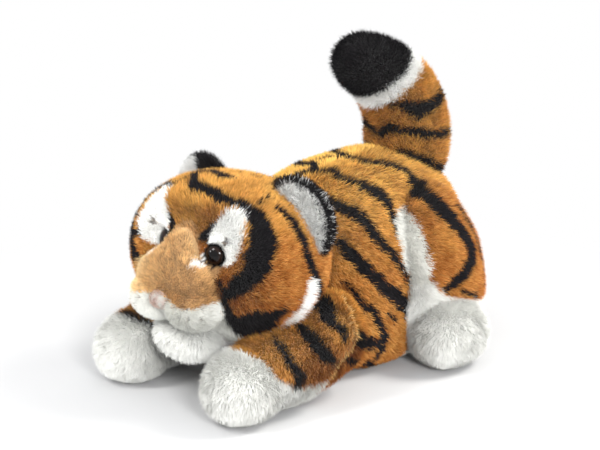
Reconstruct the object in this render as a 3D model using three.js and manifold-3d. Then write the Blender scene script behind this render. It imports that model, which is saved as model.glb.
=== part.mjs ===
// A plush tiger that lies on its belly with its head up, its front legs ahead of it,
// its hind legs folded beside it and its tail curled up over the rump.
// Lengths are in millimetres and angles in degrees.
// +X is the tiger's left, -Y is where it looks and +Z is up.
// Everything is placed from the line through the neck, and the whole toy is centred at the end.

import * as THREE from 'three';
import { mergeVertices } from 'three/addons/utils/BufferGeometryUtils.js';
import Module from 'manifold-3d';

const wasm = await Module();
wasm.setup();

// Cloth, clearances, and the size of the blocks that cut
const gap = 0.3;
const cloth = 2.4;
const soleDepth = 0.5;
const reach = 400;
const plainSquareness = 2.2;

// Counts of points round and steps along each kind of form
const bodyCounts = [18, 12];
const limbCounts = [14, 8];
const liningCounts = [8, 5];
const sweepCounts = [12, 8];
const smallCounts = [12, 6];
const neckBallCounts = [24, 14];
const jointBallCounts = [16, 10];
const bendBallCounts = [24, 14];
const gussetSteps = 2;

// Torso: a long stuffed form that rests on its belly
const torsoFront = -34;
const torsoLength = 155;
const torsoHalfWidth = 51;
const torsoMid = 52;
const torsoRise = 65;
const torsoSideShares = [1.05, 1.1, 1.04, 1, 0.98, 0.95, 0.88];
const torsoRiseShares = [0.68, 0.87, 0.98, 1, 1, 1, 1];
const torsoLowSquareness = 6;
const torsoDropShares = [0.84, 0.98, 1, 1, 0.99, 0.9, 0.78];
const torsoBluntness = 2.6;
const bellySeamHeight = 10;
const bagHalfWidth = 26;
const bagHalfLength = 32;
const bagHeight = 16;

// Neck: a ball of the torso that the head's hollow back turns on, with a gusset between
const neckHeight = 66;
const neckBallRadius = 42;
const gussetWall = 2.2;
const gussetStart = 22;
const gussetEnd = 52;

// Head, and how far it nods up and turns
const headFront = -96;
const headLength = 92;
const headHalfWidth = 55;
const headMid = 80;
const headRise = 44;
const headDrop = 47;
const headSideShares = [1.1, 1.1, 1.06, 1, 0.92, 0.77, 0.66];
const headRiseShares = [0.86, 0.94, 0.99, 0.96, 0.88, 0.77, 0.7];
const headDropShares = [0.9, 0.94, 0.98, 1, 0.98, 0.94, 0.86];
const headBluntness = 3;
const headNod = 12;
const headTurn = 8;
const sweepRoom = 0.8;

// Cheek ruffs: panels of white cloth along the jaw
const ruffHalfWidth = 9;
const ruffPathShares = [
  [0.91, 0.66, 0.2],
  [0.9, 0.6, -0.3],
  [0.82, 0.48, -0.72],
  [0.62, 0.34, -0.94],
  [0.3, 0.24, -1.02],
];

// Muzzle: bridge, whisker pads, chin and nose
const bridgeHalfWidth = 26;
const bridgeHalfDepth = 13;
const bridgeTop = 101;
const bridgeTopFront = -84;
const bridgeLow = 58;
const bridgeLowFront = -104;
const bridgeSideShares = [0.4, 0.42, 0.52, 0.92, 1.08, 1.12, 1.1];
const bridgeBluntness = 2.4;
const padSide = 14.5;
const padFront = -97;
const padHeight = 61.5;
const padHalfWidth = 16.5;
const padHalfLength = 16;
const padHalfHeight = 12.5;
const chinFront = -89;
const chinHeight = 39.5;
const chinHalfWidth = 19;
const chinHalfLength = 14.5;
const chinHalfHeight = 12;
const noseFront = -109;
const noseHeight = 65;
const noseHalfWidth = 7.5;
const noseHalfLength = 5.5;
const noseHalfHeight = 5;

// Safety eyes: a dome on a shank, held by a washer behind the cloth
const eyeSide = 20.2;
const eyeHeight = 89.9;
const eyeFront = -86.4;
const eyeRadius = 6;
const eyeDome = 4.2;
const eyeDomeShares = [[1, 0], [0.87, 0.5], [0.5, 0.87], [0, 1]];
const eyeShankRadius = 2.1;
const eyeShankLength = 11;
const eyeTurn = 24;
const eyeLift = 8;
const eyeDentRadius = 12;
const eyeDentSink = 0.3;
const washerRadius = 7;
const washerWall = 1.6;

// Ears: two cloths back to back that fold about their root
const earSide = 37;
const earFront = -40;
const earHeight = 103.5;
const earRadius = 23;
const earHalfWall = 5;
const earRootRadius = 4;
const earRootHalfLength = 19;
const earLean = 52;
const earTurn = 10;
const earFolds = [-20, -10, 0, 15, 30];

// Front legs: a shoulder ball in the torso, a striped sleeve and a white paw
const shoulderSide = 50;
const shoulderFront = -30;
const shoulderHeight = 36;
const shoulderRadius = 23.5;
const sleeveHalfWidth = 22;
const sleeveHalfHeight = 22;
const sleeveFront = -90;
const sleeveBluntness = 3;
const shoulderSwing = 25;
const pawSide = 46;
const pawFront = -91.5;
const pawHeight = 19.5;
const pawHalfWidth = 20.5;
const pawHalfLength = 22;
const pawHalfHeight = 20;
const wristFront = -78;
const wristHeight = 22;
const wristTurn = 45;
const undersideHeight = 12;

// Hind legs: a tall thigh against the rump, and a long white foot
const thighSide = 47;
const thighFront = 67;
const thighHeight = 54;
const thighHalfWidth = 24;
const thighHalfLength = 32;
const thighHalfHeight = 50;
const thighLean = 7;
const thighBluntness = 2.6;
const thighSideShares = [1, 1, 1, 1, 0.95, 0.82, 0.7];
const thighBackShares = [1, 1, 1, 0.98, 0.88, 0.68, 0.5];
const footSide = 68;
const footFront = 57;
const footHeight = 19.5;
const footHalfWidth = 21;
const footHalfLength = 25.5;
const footHalfHeight = 20;
const footTurn = 18;
const ankleTurn = 8;
const innerPanelSide = 51;
const hipSide = 44;
const hipFront = 100;
const hipSwing = 18;

// Tail: a tube that rises from the rump and curls forward, in two stretches
const tailFront = 92;
const tailHeight = 107;
const tailReach = 80;
const tailRadius = 19;
const tailSwing = 20;
const tailBluntness = 4.2;
const tailSquareness = 2;
const tailBendShare = 0.66;
const tailTipShare = 0.77;
const tailTipBend = 20;
const tailShares = [1.18, 1.22, 1.22, 1.16, 1.07, 0.97, 0.88];
const tailPathShares = [
  [-0.02, -0.1],
  [0, 0],
  [0.015, 0.2],
  [-0.025, 0.41],
  [-0.15, 0.61],
  [-0.35, 0.76],
  [-0.68, 0.95],
];

// Colours of the cloths and the hard parts
const orange = 0xc9822f;
const white = 0xeeebe6;
const charcoal = 0x2a2624;
const tan = 0xcb9765;
const pink = 0xdba295;
const fibre = 0xf4f2ec;
const pellet = 0xd9d2bf;
const darkEye = 0x140d0a;
const plastic = 0xe6e4df;
const clothRoughness = 0.95;
const plasticRoughness = 0.5;
const eyeRoughness = 0.08;

const xAxis = new THREE.Vector3(1, 0, 0);
const yAxis = new THREE.Vector3(0, 1, 0);
const zAxis = new THREE.Vector3(0, 0, 1);
const opposite = (direction) => direction.clone().negate();
const radians = THREE.MathUtils.degToRad;

// A closed geometry as a solid, with its faces turned outwards
function solidOf(geometry) {
  const bare = geometry.clone();
  bare.deleteAttribute('normal');
  bare.deleteAttribute('uv');
  const merged = mergeVertices(bare);
  const vertProperties = new Float32Array(merged.attributes.position.array);
  const triVerts = new Uint32Array(merged.index.array);
  const corner = (place) => new THREE.Vector3().fromArray(vertProperties, 3 * triVerts[place]);
  let volume = 0;
  for (let place = 0; place < triVerts.length; place += 3) {
    volume += corner(place).dot(corner(place + 1).cross(corner(place + 2)));
  }
  if (volume < 0) triVerts.reverse();
  return new wasm.Manifold(new wasm.Mesh({ numProp: 3, vertProperties, triVerts }));
}

function geometryOf(solid) {
  const mesh = solid.getMesh();
  const geometry = new THREE.BufferGeometry();
  geometry.setAttribute('position', new THREE.BufferAttribute(mesh.vertProperties, 3));
  geometry.setIndex(new THREE.BufferAttribute(mesh.triVerts, 1));
  return geometry;
}

function moved(solid, matrix) {
  return solidOf(geometryOf(solid).applyMatrix4(matrix));
}

function mirrored(solid) {
  return moved(solid, new THREE.Matrix4().makeScale(-1, 1, 1));
}

function bothSides(solid) {
  return solid.add(mirrored(solid));
}

// The largest of a solid's separate lumps, without crumbs that a cut left
function mainLump(solid) {
  const lumps = solid.decompose();
  return lumps.reduce((best, lump) => (lump.volume() > best.volume() ? lump : best));
}

// A share read smoothly out of a row of shares
function shareAt(shares, along) {
  if (!shares) return 1;
  const points = shares.map((share, place) => new THREE.Vector2(place / (shares.length - 1), share));
  return new THREE.SplineCurve(points).getPoint(along).y;
}

// A stuffed form: rings round a spine that swell and close to a point at each end.
// An inset gives the lining inside the cloth, and a negative one the room outside it.
function stuffedForm(form, inset = 0) {
  const [around, rings] = form.counts;
  const { side, spine, bluntness, squareness = plainSquareness, lowSquareness = squareness } = form;
  const points = [];
  for (let ring = 0; ring <= rings; ring += 1) {
    const along = (1 - Math.cos(Math.PI * ring / rings)) / 2;
    const swell = (1 - Math.abs(2 * along - 1) ** bluntness) ** (1 / bluntness);
    const endShare = inset / spine.getLength();
    const place = endShare + along * (1 - 2 * endShare);
    const forward = spine.getTangent(THREE.MathUtils.clamp(place, 0, 1));
    const centre = spine.getPoint(THREE.MathUtils.clamp(place, 0, 1));
    centre.addScaledVector(forward, (place - THREE.MathUtils.clamp(place, 0, 1)) * spine.getLength());
    const up = new THREE.Vector3().crossVectors(side, forward).normalize();
    const halfWidth = (form.halfWidth - inset) * shareAt(form.sideShares, along) * swell;
    const rise = (form.rise - inset) * shareAt(form.riseShares, along) * swell;
    const drop = (form.drop - inset) * shareAt(form.dropShares, along) * swell;
    const count = ring === 0 || ring === rings ? 1 : around;
    for (let step = 0; step < count; step += 1) {
      const cos = Math.cos(2 * Math.PI * step / around);
      const sin = Math.sin(2 * Math.PI * step / around);
      const square = sin < 0 ? lowSquareness : squareness;
      const round = (Math.abs(cos) ** square + Math.abs(sin) ** square) ** (-1 / square);
      const point = centre.clone()
        .addScaledVector(side, cos * round * halfWidth)
        .addScaledVector(up, sin * round * (sin > 0 ? rise : drop));
      points.push(...point.toArray());
    }
  }
  const first = (ring) => 1 + (ring - 1) * around;
  const last = points.length / 3 - 1;
  const index = [];
  for (let step = 0; step < around; step += 1) {
    const next = (step + 1) % around;
    index.push(0, first(1) + step, first(1) + next);
    for (let ring = 1; ring < rings - 1; ring += 1) {
      index.push(first(ring) + step, first(ring + 1) + step, first(ring) + next);
      index.push(first(ring) + next, first(ring + 1) + step, first(ring + 1) + next);
    }
    index.push(last, first(rings - 1) + next, first(rings - 1) + step);
  }
  const geometry = new THREE.BufferGeometry();
  geometry.setAttribute('position', new THREE.Float32BufferAttribute(points, 3));
  geometry.setIndex(index);
  return solidOf(geometry);
}

// An oval ball, turned about the vertical if asked
function oval(centre, halfWidth, halfLength, halfHeight, counts, turn = 0) {
  const geometry = new THREE.SphereGeometry(1, counts[0], counts[1]);
  geometry.rotateX(Math.PI / 2);
  geometry.scale(halfWidth, halfLength, halfHeight);
  geometry.rotateZ(radians(turn));
  geometry.translate(...centre);
  return solidOf(geometry);
}

function ball(centre, radius, counts) {
  return oval(centre, radius, radius, radius, counts);
}

// The radius of a faceted hollow in which a faceted ball turns without touching
function socketRadius(radius, counts) {
  return (radius + gap) / Math.cos(Math.PI / counts[0]) ** 2;
}

// Everything on one side of a plane, as a large block
function halfSpace(point, direction) {
  const block = new THREE.BoxGeometry(reach, reach, reach);
  block.translate(0, 0, reach / 2);
  block.applyQuaternion(new THREE.Quaternion().setFromUnitVectors(zAxis, direction.clone().normalize()));
  block.translate(...point);
  return solidOf(block);
}

const above = (height) => halfSpace([0, 0, height], zAxis);
const below = (height) => halfSpace([0, 0, height], opposite(zAxis));
const leftOf = (side) => halfSpace([side, 0, 0], xAxis);
const rightOf = (side) => halfSpace([side, 0, 0], opposite(xAxis));

// A matrix that turns things about an axis through a point
function turnAbout(point, axis, angle) {
  return new THREE.Matrix4()
    .makeTranslation(...point)
    .multiply(new THREE.Matrix4().makeRotationAxis(axis, radians(angle)))
    .multiply(new THREE.Matrix4().makeTranslation(...point.map((value) => -value)));
}

// The toy and its pieces
const tiger = new THREE.Group();

function addPiece(name, solid, color, roughness = clothRoughness) {
  const material = new THREE.MeshStandardMaterial({ color, roughness, metalness: 0 });
  const geometry = geometryOf(mainLump(solid));
  geometry.computeVertexNormals();
  const mesh = new THREE.Mesh(geometry, material);
  mesh.name = name;
  tiger.add(mesh);
}

function addPair(stem, solid, color, roughness) {
  addPiece(`${stem}_left`, solid, color, roughness);
  addPiece(`${stem}_right`, mirrored(solid), color, roughness);
}

// Points that the joints turn about
const neckPivot = [0, 0, neckHeight];
const shoulderPivot = [shoulderSide, shoulderFront, shoulderHeight];
const hipPivot = [hipSide, hipFront, 0];
const tailPivot = [0, tailFront, tailHeight];
const earPivot = [earSide, earFront, earHeight];

// Head form, and all the room that it sweeps through as it nods and turns
const headForm = {
  spine: new THREE.LineCurve3(
    new THREE.Vector3(0, headFront, headMid),
    new THREE.Vector3(0, headFront + headLength, headMid),
  ),
  side: xAxis,
  counts: bodyCounts,
  halfWidth: headHalfWidth,
  rise: headRise,
  drop: headDrop,
  sideShares: headSideShares,
  riseShares: headRiseShares,
  dropShares: headDropShares,
  bluntness: headBluntness,
};
const headLining = { ...headForm, counts: liningCounts };

function chinPad(extra) {
  return oval([0, chinFront, chinHeight], chinHalfWidth + extra, chinHalfLength + extra,
    chinHalfHeight + extra, smallCounts);
}

function whiskerPad(extra) {
  return oval([padSide, padFront, padHeight], padHalfWidth + extra, padHalfLength + extra,
    padHalfHeight + extra, smallCounts);
}

function sweptByHead(solid, nods) {
  let swept;
  for (const nod of nods) {
    for (const turn of [-headTurn, headTurn]) {
      const pose = turnAbout(neckPivot, xAxis, -nod).multiply(turnAbout(neckPivot, zAxis, turn));
      const posed = moved(solid, pose);
      swept = swept ? swept.add(posed) : posed;
    }
  }
  return swept;
}

const gussetInner = socketRadius(neckBallRadius, neckBallCounts);
const gussetOuter = gussetInner + gussetWall;
const cupRadius = socketRadius(gussetOuter, neckBallCounts);

// How far the flat facets of a form with these counts lie inside its true round
function facetDepth(size, counts) {
  return size * (1 - Math.cos(Math.PI / counts[0]));
}

function headRoom(inset, nods) {
  const counts = inset > gap ? liningCounts : sweepCounts;
  const room = sweepRoom + inset + facetDepth(headHalfWidth * Math.max(...headSideShares), counts);
  return sweptByHead(stuffedForm({ ...headForm, counts }, -room), nods);
}

// Tail form, which the rump makes room for as it swings
const tailSpine = new THREE.CatmullRomCurve3(tailPathShares.map(([back, up]) => new THREE.Vector3(
  0,
  tailFront + back * tailReach,
  tailHeight + up * tailReach,
)));
const tailForm = {
  spine: tailSpine,
  side: opposite(xAxis),
  counts: limbCounts,
  halfWidth: tailRadius,
  rise: tailRadius,
  drop: tailRadius,
  sideShares: tailShares,
  riseShares: tailShares,
  dropShares: tailShares,
  bluntness: tailBluntness,
  squareness: tailSquareness,
};

// Torso
const torsoForm = {
  spine: new THREE.LineCurve3(
    new THREE.Vector3(0, torsoFront, torsoMid),
    new THREE.Vector3(0, torsoFront + torsoLength, torsoMid),
  ),
  side: xAxis,
  counts: bodyCounts,
  halfWidth: torsoHalfWidth,
  rise: torsoRise,
  drop: torsoMid + soleDepth,
  sideShares: torsoSideShares,
  riseShares: torsoRiseShares,
  dropShares: torsoDropShares,
  bluntness: torsoBluntness,
  lowSquareness: torsoLowSquareness,
};
const torsoLining = { ...torsoForm, counts: liningCounts };

function torsoSolid(inset) {
  const lined = inset > 0;
  const neckCounts = lined ? liningCounts : neckBallCounts;
  const jointCounts = lined ? liningCounts : jointBallCounts;
  const gussetRoom = ball(neckPivot, cupRadius + inset, jointCounts)
    .intersect(halfSpace([0, -gussetOuter * Math.cos(radians(gussetEnd + headNod)), 0], opposite(yAxis)));
  const shoulderRoom = ball(shoulderPivot, socketRadius(shoulderRadius, jointBallCounts) + inset, jointCounts);
  const tailRoom = ball(tailPivot, socketRadius(tailRadius, jointBallCounts) + inset, jointCounts)
    .add(bothSides(moved(stuffedForm(tailForm, -2 * gap - inset), turnAbout(tailPivot, yAxis, tailSwing))));
  return stuffedForm(lined ? torsoLining : torsoForm, inset)
    .subtract(headRoom(inset, [0, headNod]))
    .subtract(gussetRoom)
    .add(ball(neckPivot, neckBallRadius - inset, neckCounts))
    .subtract(bothSides(shoulderRoom))
    .subtract(tailRoom)
    .intersect(above(inset));
}

function bellyBag(extra) {
  const middle = torsoFront + torsoLength / 2;
  return oval([0, middle, 0], bagHalfWidth + extra, bagHalfLength + extra, bagHeight + extra, smallCounts);
}

const torsoOuter = torsoSolid(0);
const torsoShell = torsoOuter.subtract(torsoSolid(cloth));
const torsoCore = torsoSolid(cloth + gap);
addPiece('back_cover', torsoShell.intersect(above(bellySeamHeight + gap)), orange);
addPiece('belly_panel', torsoShell.intersect(below(bellySeamHeight)), white);
addPiece('torso_fill', torsoCore.subtract(bellyBag(gap)), fibre);
addPiece('belly_pellet_bag', bellyBag(0).intersect(torsoCore), pellet);

// Neck gusset: a band of cloth round the neck ball
function neckGusset() {
  const profile = [];
  const arc = (radius, share) => {
    const angle = radians(gussetStart + (gussetEnd - gussetStart) * share);
    profile.push(new THREE.Vector2(radius * Math.sin(angle), -radius * Math.cos(angle)));
  };
  for (let step = 0; step <= gussetSteps; step += 1) arc(gussetOuter, step / gussetSteps);
  for (let step = gussetSteps; step >= 0; step -= 1) arc(gussetInner, step / gussetSteps);
  profile.push(profile[0].clone());
  const band = new THREE.LatheGeometry(profile, neckBallCounts[0]);
  band.translate(...neckPivot);
  return solidOf(band);
}
addPiece('neck_gusset', neckGusset(), orange);

// Eyes, whose pieces all turn about the line that the eye looks along
const eyeAim = opposite(yAxis)
  .applyAxisAngle(xAxis, -radians(eyeLift))
  .applyAxisAngle(zAxis, radians(eyeTurn));

function turnedOnEye(profile) {
  const points = profile.map(([radius, height]) => new THREE.Vector2(radius, height));
  points.push(points[0].clone());
  const lathe = new THREE.LatheGeometry(points, smallCounts[0]);
  lathe.applyQuaternion(new THREE.Quaternion().setFromUnitVectors(yAxis, eyeAim));
  lathe.translate(eyeSide, eyeFront, eyeHeight);
  return solidOf(lathe);
}

function safetyEye() {
  const dome = eyeDomeShares.map(([out, up]) => [eyeRadius * out, eyeDome * up]);
  return turnedOnEye([[0, -eyeShankLength], [eyeShankRadius, -eyeShankLength], [eyeShankRadius, 0], ...dome]);
}

const washerSeat = -(cloth + 2 * gap);

function eyeWasher() {
  return turnedOnEye([
    [eyeShankRadius + gap, washerSeat - washerWall],
    [washerRadius, washerSeat - washerWall],
    [washerRadius, washerSeat],
    [eyeShankRadius + gap, washerSeat],
  ]);
}

// A dent in the face, in which the eye sits
function eyeDent(extra) {
  const centre = new THREE.Vector3(eyeSide, eyeFront, eyeHeight);
  centre.addScaledVector(eyeAim, eyeDentRadius - eyeDentSink);
  return bothSides(ball(centre.toArray(), eyeDentRadius + extra, smallCounts));
}

// A round hole along the eye's line, from behind the shank to the front of the face
function eyeHole(radius, height) {
  return turnedOnEye([[0, -eyeShankLength - gap], [radius, -eyeShankLength - gap], [radius, height], [0, height]]);
}

// Ears: a rounded plate on a round root that turns in a groove of the head
const earFrame = new THREE.Matrix4()
  .makeTranslation(...earPivot)
  .multiply(new THREE.Matrix4().makeRotationZ(radians(earTurn)))
  .multiply(new THREE.Matrix4().makeRotationY(radians(earLean)));
const earOutward = zAxis.clone().transformDirection(earFrame);
const earForward = opposite(yAxis).transformDirection(earFrame);
const earHinge = xAxis.clone().transformDirection(earFrame);

function earRoot(radius, halfLength) {
  const root = new THREE.CylinderGeometry(radius, radius, 2 * halfLength, smallCounts[0]);
  root.rotateZ(Math.PI / 2);
  return solidOf(root.applyMatrix4(earFrame));
}

function earPlate() {
  const plate = new THREE.SphereGeometry(1, ...limbCounts);
  plate.rotateX(Math.PI / 2);
  plate.scale(earRadius, earHalfWall, earRadius);
  return solidOf(plate.applyMatrix4(earFrame)).intersect(halfSpace(earPivot, earOutward));
}

function earHalf(direction) {
  const away = new THREE.Vector3(...earPivot).addScaledVector(direction, gap / 2);
  return halfSpace(away, direction);
}

const earGroove = earRoot(socketRadius(earRootRadius, smallCounts), earRootHalfLength + gap);
const earHollow = earRoot(socketRadius(earRootRadius, smallCounts) + cloth, earRootHalfLength + gap + cloth);

// Cheek ruffs
function ruffTube(extra) {
  const path = ruffPathShares.map(([side, along, height]) => new THREE.Vector3(
    side * headHalfWidth,
    headFront + along * headLength,
    headMid + height * headDrop,
  ));
  return stuffedForm({
    spine: new THREE.CatmullRomCurve3(path),
    side: yAxis,
    counts: smallCounts,
    halfWidth: ruffHalfWidth,
    rise: ruffHalfWidth,
    drop: ruffHalfWidth,
    bluntness: headBluntness,
  }, -extra);
}

// Muzzle pieces, each cut by the larger ones behind it
const bridgeForm = {
  spine: new THREE.LineCurve3(
    new THREE.Vector3(0, bridgeTopFront, bridgeTop),
    new THREE.Vector3(0, bridgeLowFront, bridgeLow),
  ),
  side: xAxis,
  counts: smallCounts,
  halfWidth: bridgeHalfWidth,
  rise: bridgeHalfDepth,
  drop: bridgeHalfDepth,
  sideShares: bridgeSideShares,
  bluntness: bridgeBluntness,
};

// Head
const headOuter = stuffedForm(headForm).subtract(eyeDent(0));
const headGrown = stuffedForm(headForm, -gap);
const bridgeGrown = stuffedForm(bridgeForm, -gap);
const padsGrown = bothSides(whiskerPad(gap));
const headCup = ball(neckPivot, cupRadius, neckBallCounts);
const headShell = headOuter
  .subtract(stuffedForm(headLining, cloth).subtract(eyeDent(cloth)))
  .subtract(headCup)
  .subtract(bothSides(earGroove))
  .subtract(bothSides(eyeHole(eyeShankRadius + gap, reach)))
  .subtract(bothSides(eyeHole(washerRadius + gap, washerSeat + gap)));
const eyeSocket = eyeHole(eyeRadius + gap, reach)
  .intersect(halfSpace(new THREE.Vector3(eyeSide, eyeFront, eyeHeight).addScaledVector(eyeAim, -gap), eyeAim));
const headCore = stuffedForm(headLining, cloth + gap)
  .subtract(eyeDent(cloth + gap))
  .subtract(headCup)
  .subtract(bothSides(earHollow))
  .subtract(bothSides(eyeHole(washerRadius + gap, reach)));
addPiece('head_cover', headShell.subtract(bothSides(ruffTube(gap))).subtract(bothSides(eyeSocket)), orange);
addPair('cheek_ruff', mainLump(headShell.intersect(ruffTube(0))), white);
addPiece('head_fill', headCore, fibre);
addPiece('muzzle_bridge', stuffedForm(bridgeForm).subtract(headGrown)
  .subtract(bothSides(eyeHole(eyeRadius + gap, reach))), tan);
addPair('whisker_pad', whiskerPad(0).subtract(headGrown).subtract(bridgeGrown).intersect(leftOf(gap / 2)), white);
addPiece('chin_pad', chinPad(0).subtract(headGrown).subtract(padsGrown).subtract(bridgeGrown), white);
addPiece('nose', oval([0, noseFront, noseHeight], noseHalfWidth, noseHalfLength, noseHalfHeight, smallCounts)
  .subtract(headGrown).subtract(padsGrown).subtract(bridgeGrown), pink);
addPair('eye', safetyEye(), darkEye, eyeRoughness);
addPair('eye_washer', eyeWasher(), plastic, plasticRoughness);
const earTrimmed = earFolds
  .reduce((plate, fold) => plate.subtract(moved(headGrown, turnAbout(earPivot, earHinge, -fold))), earPlate())
  .add(earRoot(earRootRadius, earRootHalfLength));
addPair('ear_front', earTrimmed.intersect(earHalf(earForward)), white);
addPair('ear_back', earTrimmed.intersect(earHalf(opposite(earForward))), charcoal);

// Front legs
function frontLegSolid(inset) {
  const lined = inset > 0;
  const sleeve = stuffedForm({
    spine: new THREE.LineCurve3(
      new THREE.Vector3(shoulderSide, shoulderFront + shoulderRadius, shoulderHeight),
      new THREE.Vector3(pawSide, sleeveFront, sleeveHalfHeight - soleDepth),
    ),
    side: opposite(xAxis),
    counts: lined ? liningCounts : limbCounts,
    halfWidth: sleeveHalfWidth,
    rise: sleeveHalfHeight,
    drop: sleeveHalfHeight,
    bluntness: sleeveBluntness,
  }, inset);
  const paw = oval([pawSide, pawFront, pawHeight], pawHalfWidth - inset, pawHalfLength - inset,
    pawHalfHeight - inset, lined ? liningCounts : limbCounts);
  const muzzle = chinPad(sweepRoom + inset).add(bothSides(whiskerPad(sweepRoom + inset)));
  return sleeve
    .intersect(halfSpace(shoulderPivot, opposite(yAxis)))
    .add(ball(shoulderPivot, shoulderRadius - inset, lined ? liningCounts : jointBallCounts))
    .add(paw)
    .subtract(headRoom(inset + sweepRoom, [0]))
    .subtract(moved(headRoom(inset + sweepRoom, [0]), turnAbout(shoulderPivot, zAxis, -shoulderSwing)))
    .subtract(sweptByHead(muzzle, [0]))
    .subtract(ball(neckPivot, cupRadius + gap + inset, lined ? liningCounts : jointBallCounts))
    .intersect(above(inset));
}

const pawward = opposite(yAxis).applyAxisAngle(xAxis, radians(wristTurn));

function atWrist(direction) {
  const edge = new THREE.Vector3(0, wristFront, wristHeight).addScaledVector(direction, gap / 2);
  return halfSpace(edge, direction);
}

const frontLegShell = frontLegSolid(0).subtract(frontLegSolid(cloth));
const frontLegCore = frontLegSolid(cloth + gap);
const frontSleeve = frontLegShell.intersect(atWrist(opposite(pawward)));
addPair('front_leg_sleeve', frontSleeve.intersect(above(undersideHeight + gap)), orange);
addPair('front_leg_underside', frontSleeve.intersect(below(undersideHeight)), white);
addPair('front_paw_cover', frontLegShell.intersect(atWrist(pawward)), white);
addPair('front_leg_fill', frontLegCore.intersect(atWrist(opposite(pawward))), fibre);
addPair('front_paw_pellets', frontLegCore.intersect(atWrist(pawward)), pellet);

// Hind legs, cut to clear the torso at rest and when they swing out
function torsoRoom(inset) {
  const room = stuffedForm(torsoForm, -2 * gap - inset);
  return room.add(moved(room, turnAbout(hipPivot, zAxis, -hipSwing)));
}

function hindLegSolid(inset) {
  const lined = inset > 0;
  const lean = Math.tan(radians(thighLean)) * thighHalfHeight;
  const thigh = stuffedForm({
    spine: new THREE.LineCurve3(
      new THREE.Vector3(thighSide + lean / 2, thighFront, thighHeight - thighHalfHeight),
      new THREE.Vector3(thighSide - lean, thighFront, thighHeight + thighHalfHeight),
    ),
    side: opposite(xAxis),
    counts: lined ? liningCounts : limbCounts,
    halfWidth: thighHalfWidth,
    rise: thighHalfLength,
    drop: thighHalfLength,
    sideShares: thighSideShares,
    riseShares: thighBackShares,
    bluntness: thighBluntness,
  }, inset);
  const foot = oval([footSide, footFront, footHeight], footHalfWidth - inset, footHalfLength - inset,
    footHalfHeight - inset, lined ? liningCounts : limbCounts, footTurn);
  return thigh.add(foot).subtract(torsoRoom(inset)).intersect(above(inset));
}

// One side of the seam where the foot joins the thigh
function atAnkle(direction) {
  const top = new THREE.Vector3(footSide, footFront, footHeight + footHalfHeight);
  return halfSpace(top.addScaledVector(direction, gap / 2), direction);
}

const thighward = zAxis.clone().applyAxisAngle(xAxis, radians(ankleTurn));
const hindLegShell = hindLegSolid(0).subtract(hindLegSolid(cloth));
const hindLegCore = hindLegSolid(cloth + gap);
const thighShell = hindLegShell.intersect(atAnkle(thighward));
addPair('thigh_cover', thighShell.intersect(leftOf(innerPanelSide + gap)), orange);
addPair('inner_thigh_panel', thighShell.intersect(rightOf(innerPanelSide)), white);
addPair('hind_foot_cover', hindLegShell.intersect(atAnkle(opposite(thighward))), white);
addPair('thigh_fill', hindLegCore.intersect(atAnkle(thighward)), fibre);
addPair('hind_foot_pellets', hindLegCore.intersect(atAnkle(opposite(thighward))), pellet);

// Tail
function tailSolid(inset) {
  const lined = inset > 0;
  return stuffedForm(lined ? { ...tailForm, counts: liningCounts } : tailForm, inset)
    .add(ball(tailPivot, tailRadius - inset, lined ? liningCounts : jointBallCounts));
}

// One side of a seam across the tail, where the two sides lie this far apart
function acrossTail(share, towards, apart = gap) {
  const direction = tailSpine.getTangent(share).multiplyScalar(towards);
  return halfSpace(tailSpine.getPoint(share).addScaledVector(direction, apart / 2), direction);
}

const tailBend = tailSpine.getPoint(tailBendShare).toArray();
const bendRadius = tailRadius * shareAt(tailShares, tailBendShare);
const tailShell = tailSolid(0).subtract(tailSolid(cloth));
const tailCore = tailSolid(cloth + gap);
const beforeBend = acrossTail(tailBendShare, -1);
const afterBend = acrossTail(tailBendShare, 1);
const tipRoom = stuffedForm(tailForm, -4 * gap).intersect(afterBend);
const bendHollow = ball(tailBend, socketRadius(bendRadius, bendBallCounts), bendBallCounts)
  .add(moved(tipRoom, turnAbout(tailBend, xAxis, tailTipBend)))
  .add(moved(tipRoom, turnAbout(tailBend, xAxis, -tailTipBend)));
const bendBall = (inset) => ball(tailBend, bendRadius - inset, bendBallCounts);
const bendCap = bendBall(0).intersect(acrossTail(tailBendShare, -1, -2 * gap));
addPiece('tail_sleeve', tailShell.intersect(beforeBend).subtract(bendHollow), orange);
addPiece('tail_fill', tailCore.intersect(beforeBend).subtract(bendHollow), fibre);
addPiece('tail_ring', tailShell.intersect(afterBend).add(bendCap.subtract(bendBall(cloth)))
  .intersect(acrossTail(tailTipShare, -1)), white);
addPiece('tail_tip', tailShell.intersect(acrossTail(tailTipShare, 1)), charcoal);
addPiece('tail_tip_fill', tailCore.intersect(afterBend), fibre);

// The toy stands centred on its origin
const bounds = new THREE.Box3().setFromObject(tiger);
const middle = bounds.getCenter(new THREE.Vector3());
for (const mesh of tiger.children) mesh.geometry.translate(-middle.x, -middle.y, -bounds.min.z);

export default tiger;
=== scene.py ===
# %% [markdown]
# # A plush tiger, dressed
#
# The CAD model gives the sewn forms, the joints and the hard parts. This lesson puts the
# cloth and the pile on them. A plush toy is read by its pile: every outline is soft, every
# stripe has a ragged edge, and the light falls into the hairs. So the pile is made as real
# tapered strands that grow from a smooth skin, and each strand takes its colour from the
# place where it is seen.

# %% Load the frame
import math

import bmesh
import bpy
import numpy as np
from mathutils import Matrix, Vector


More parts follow.
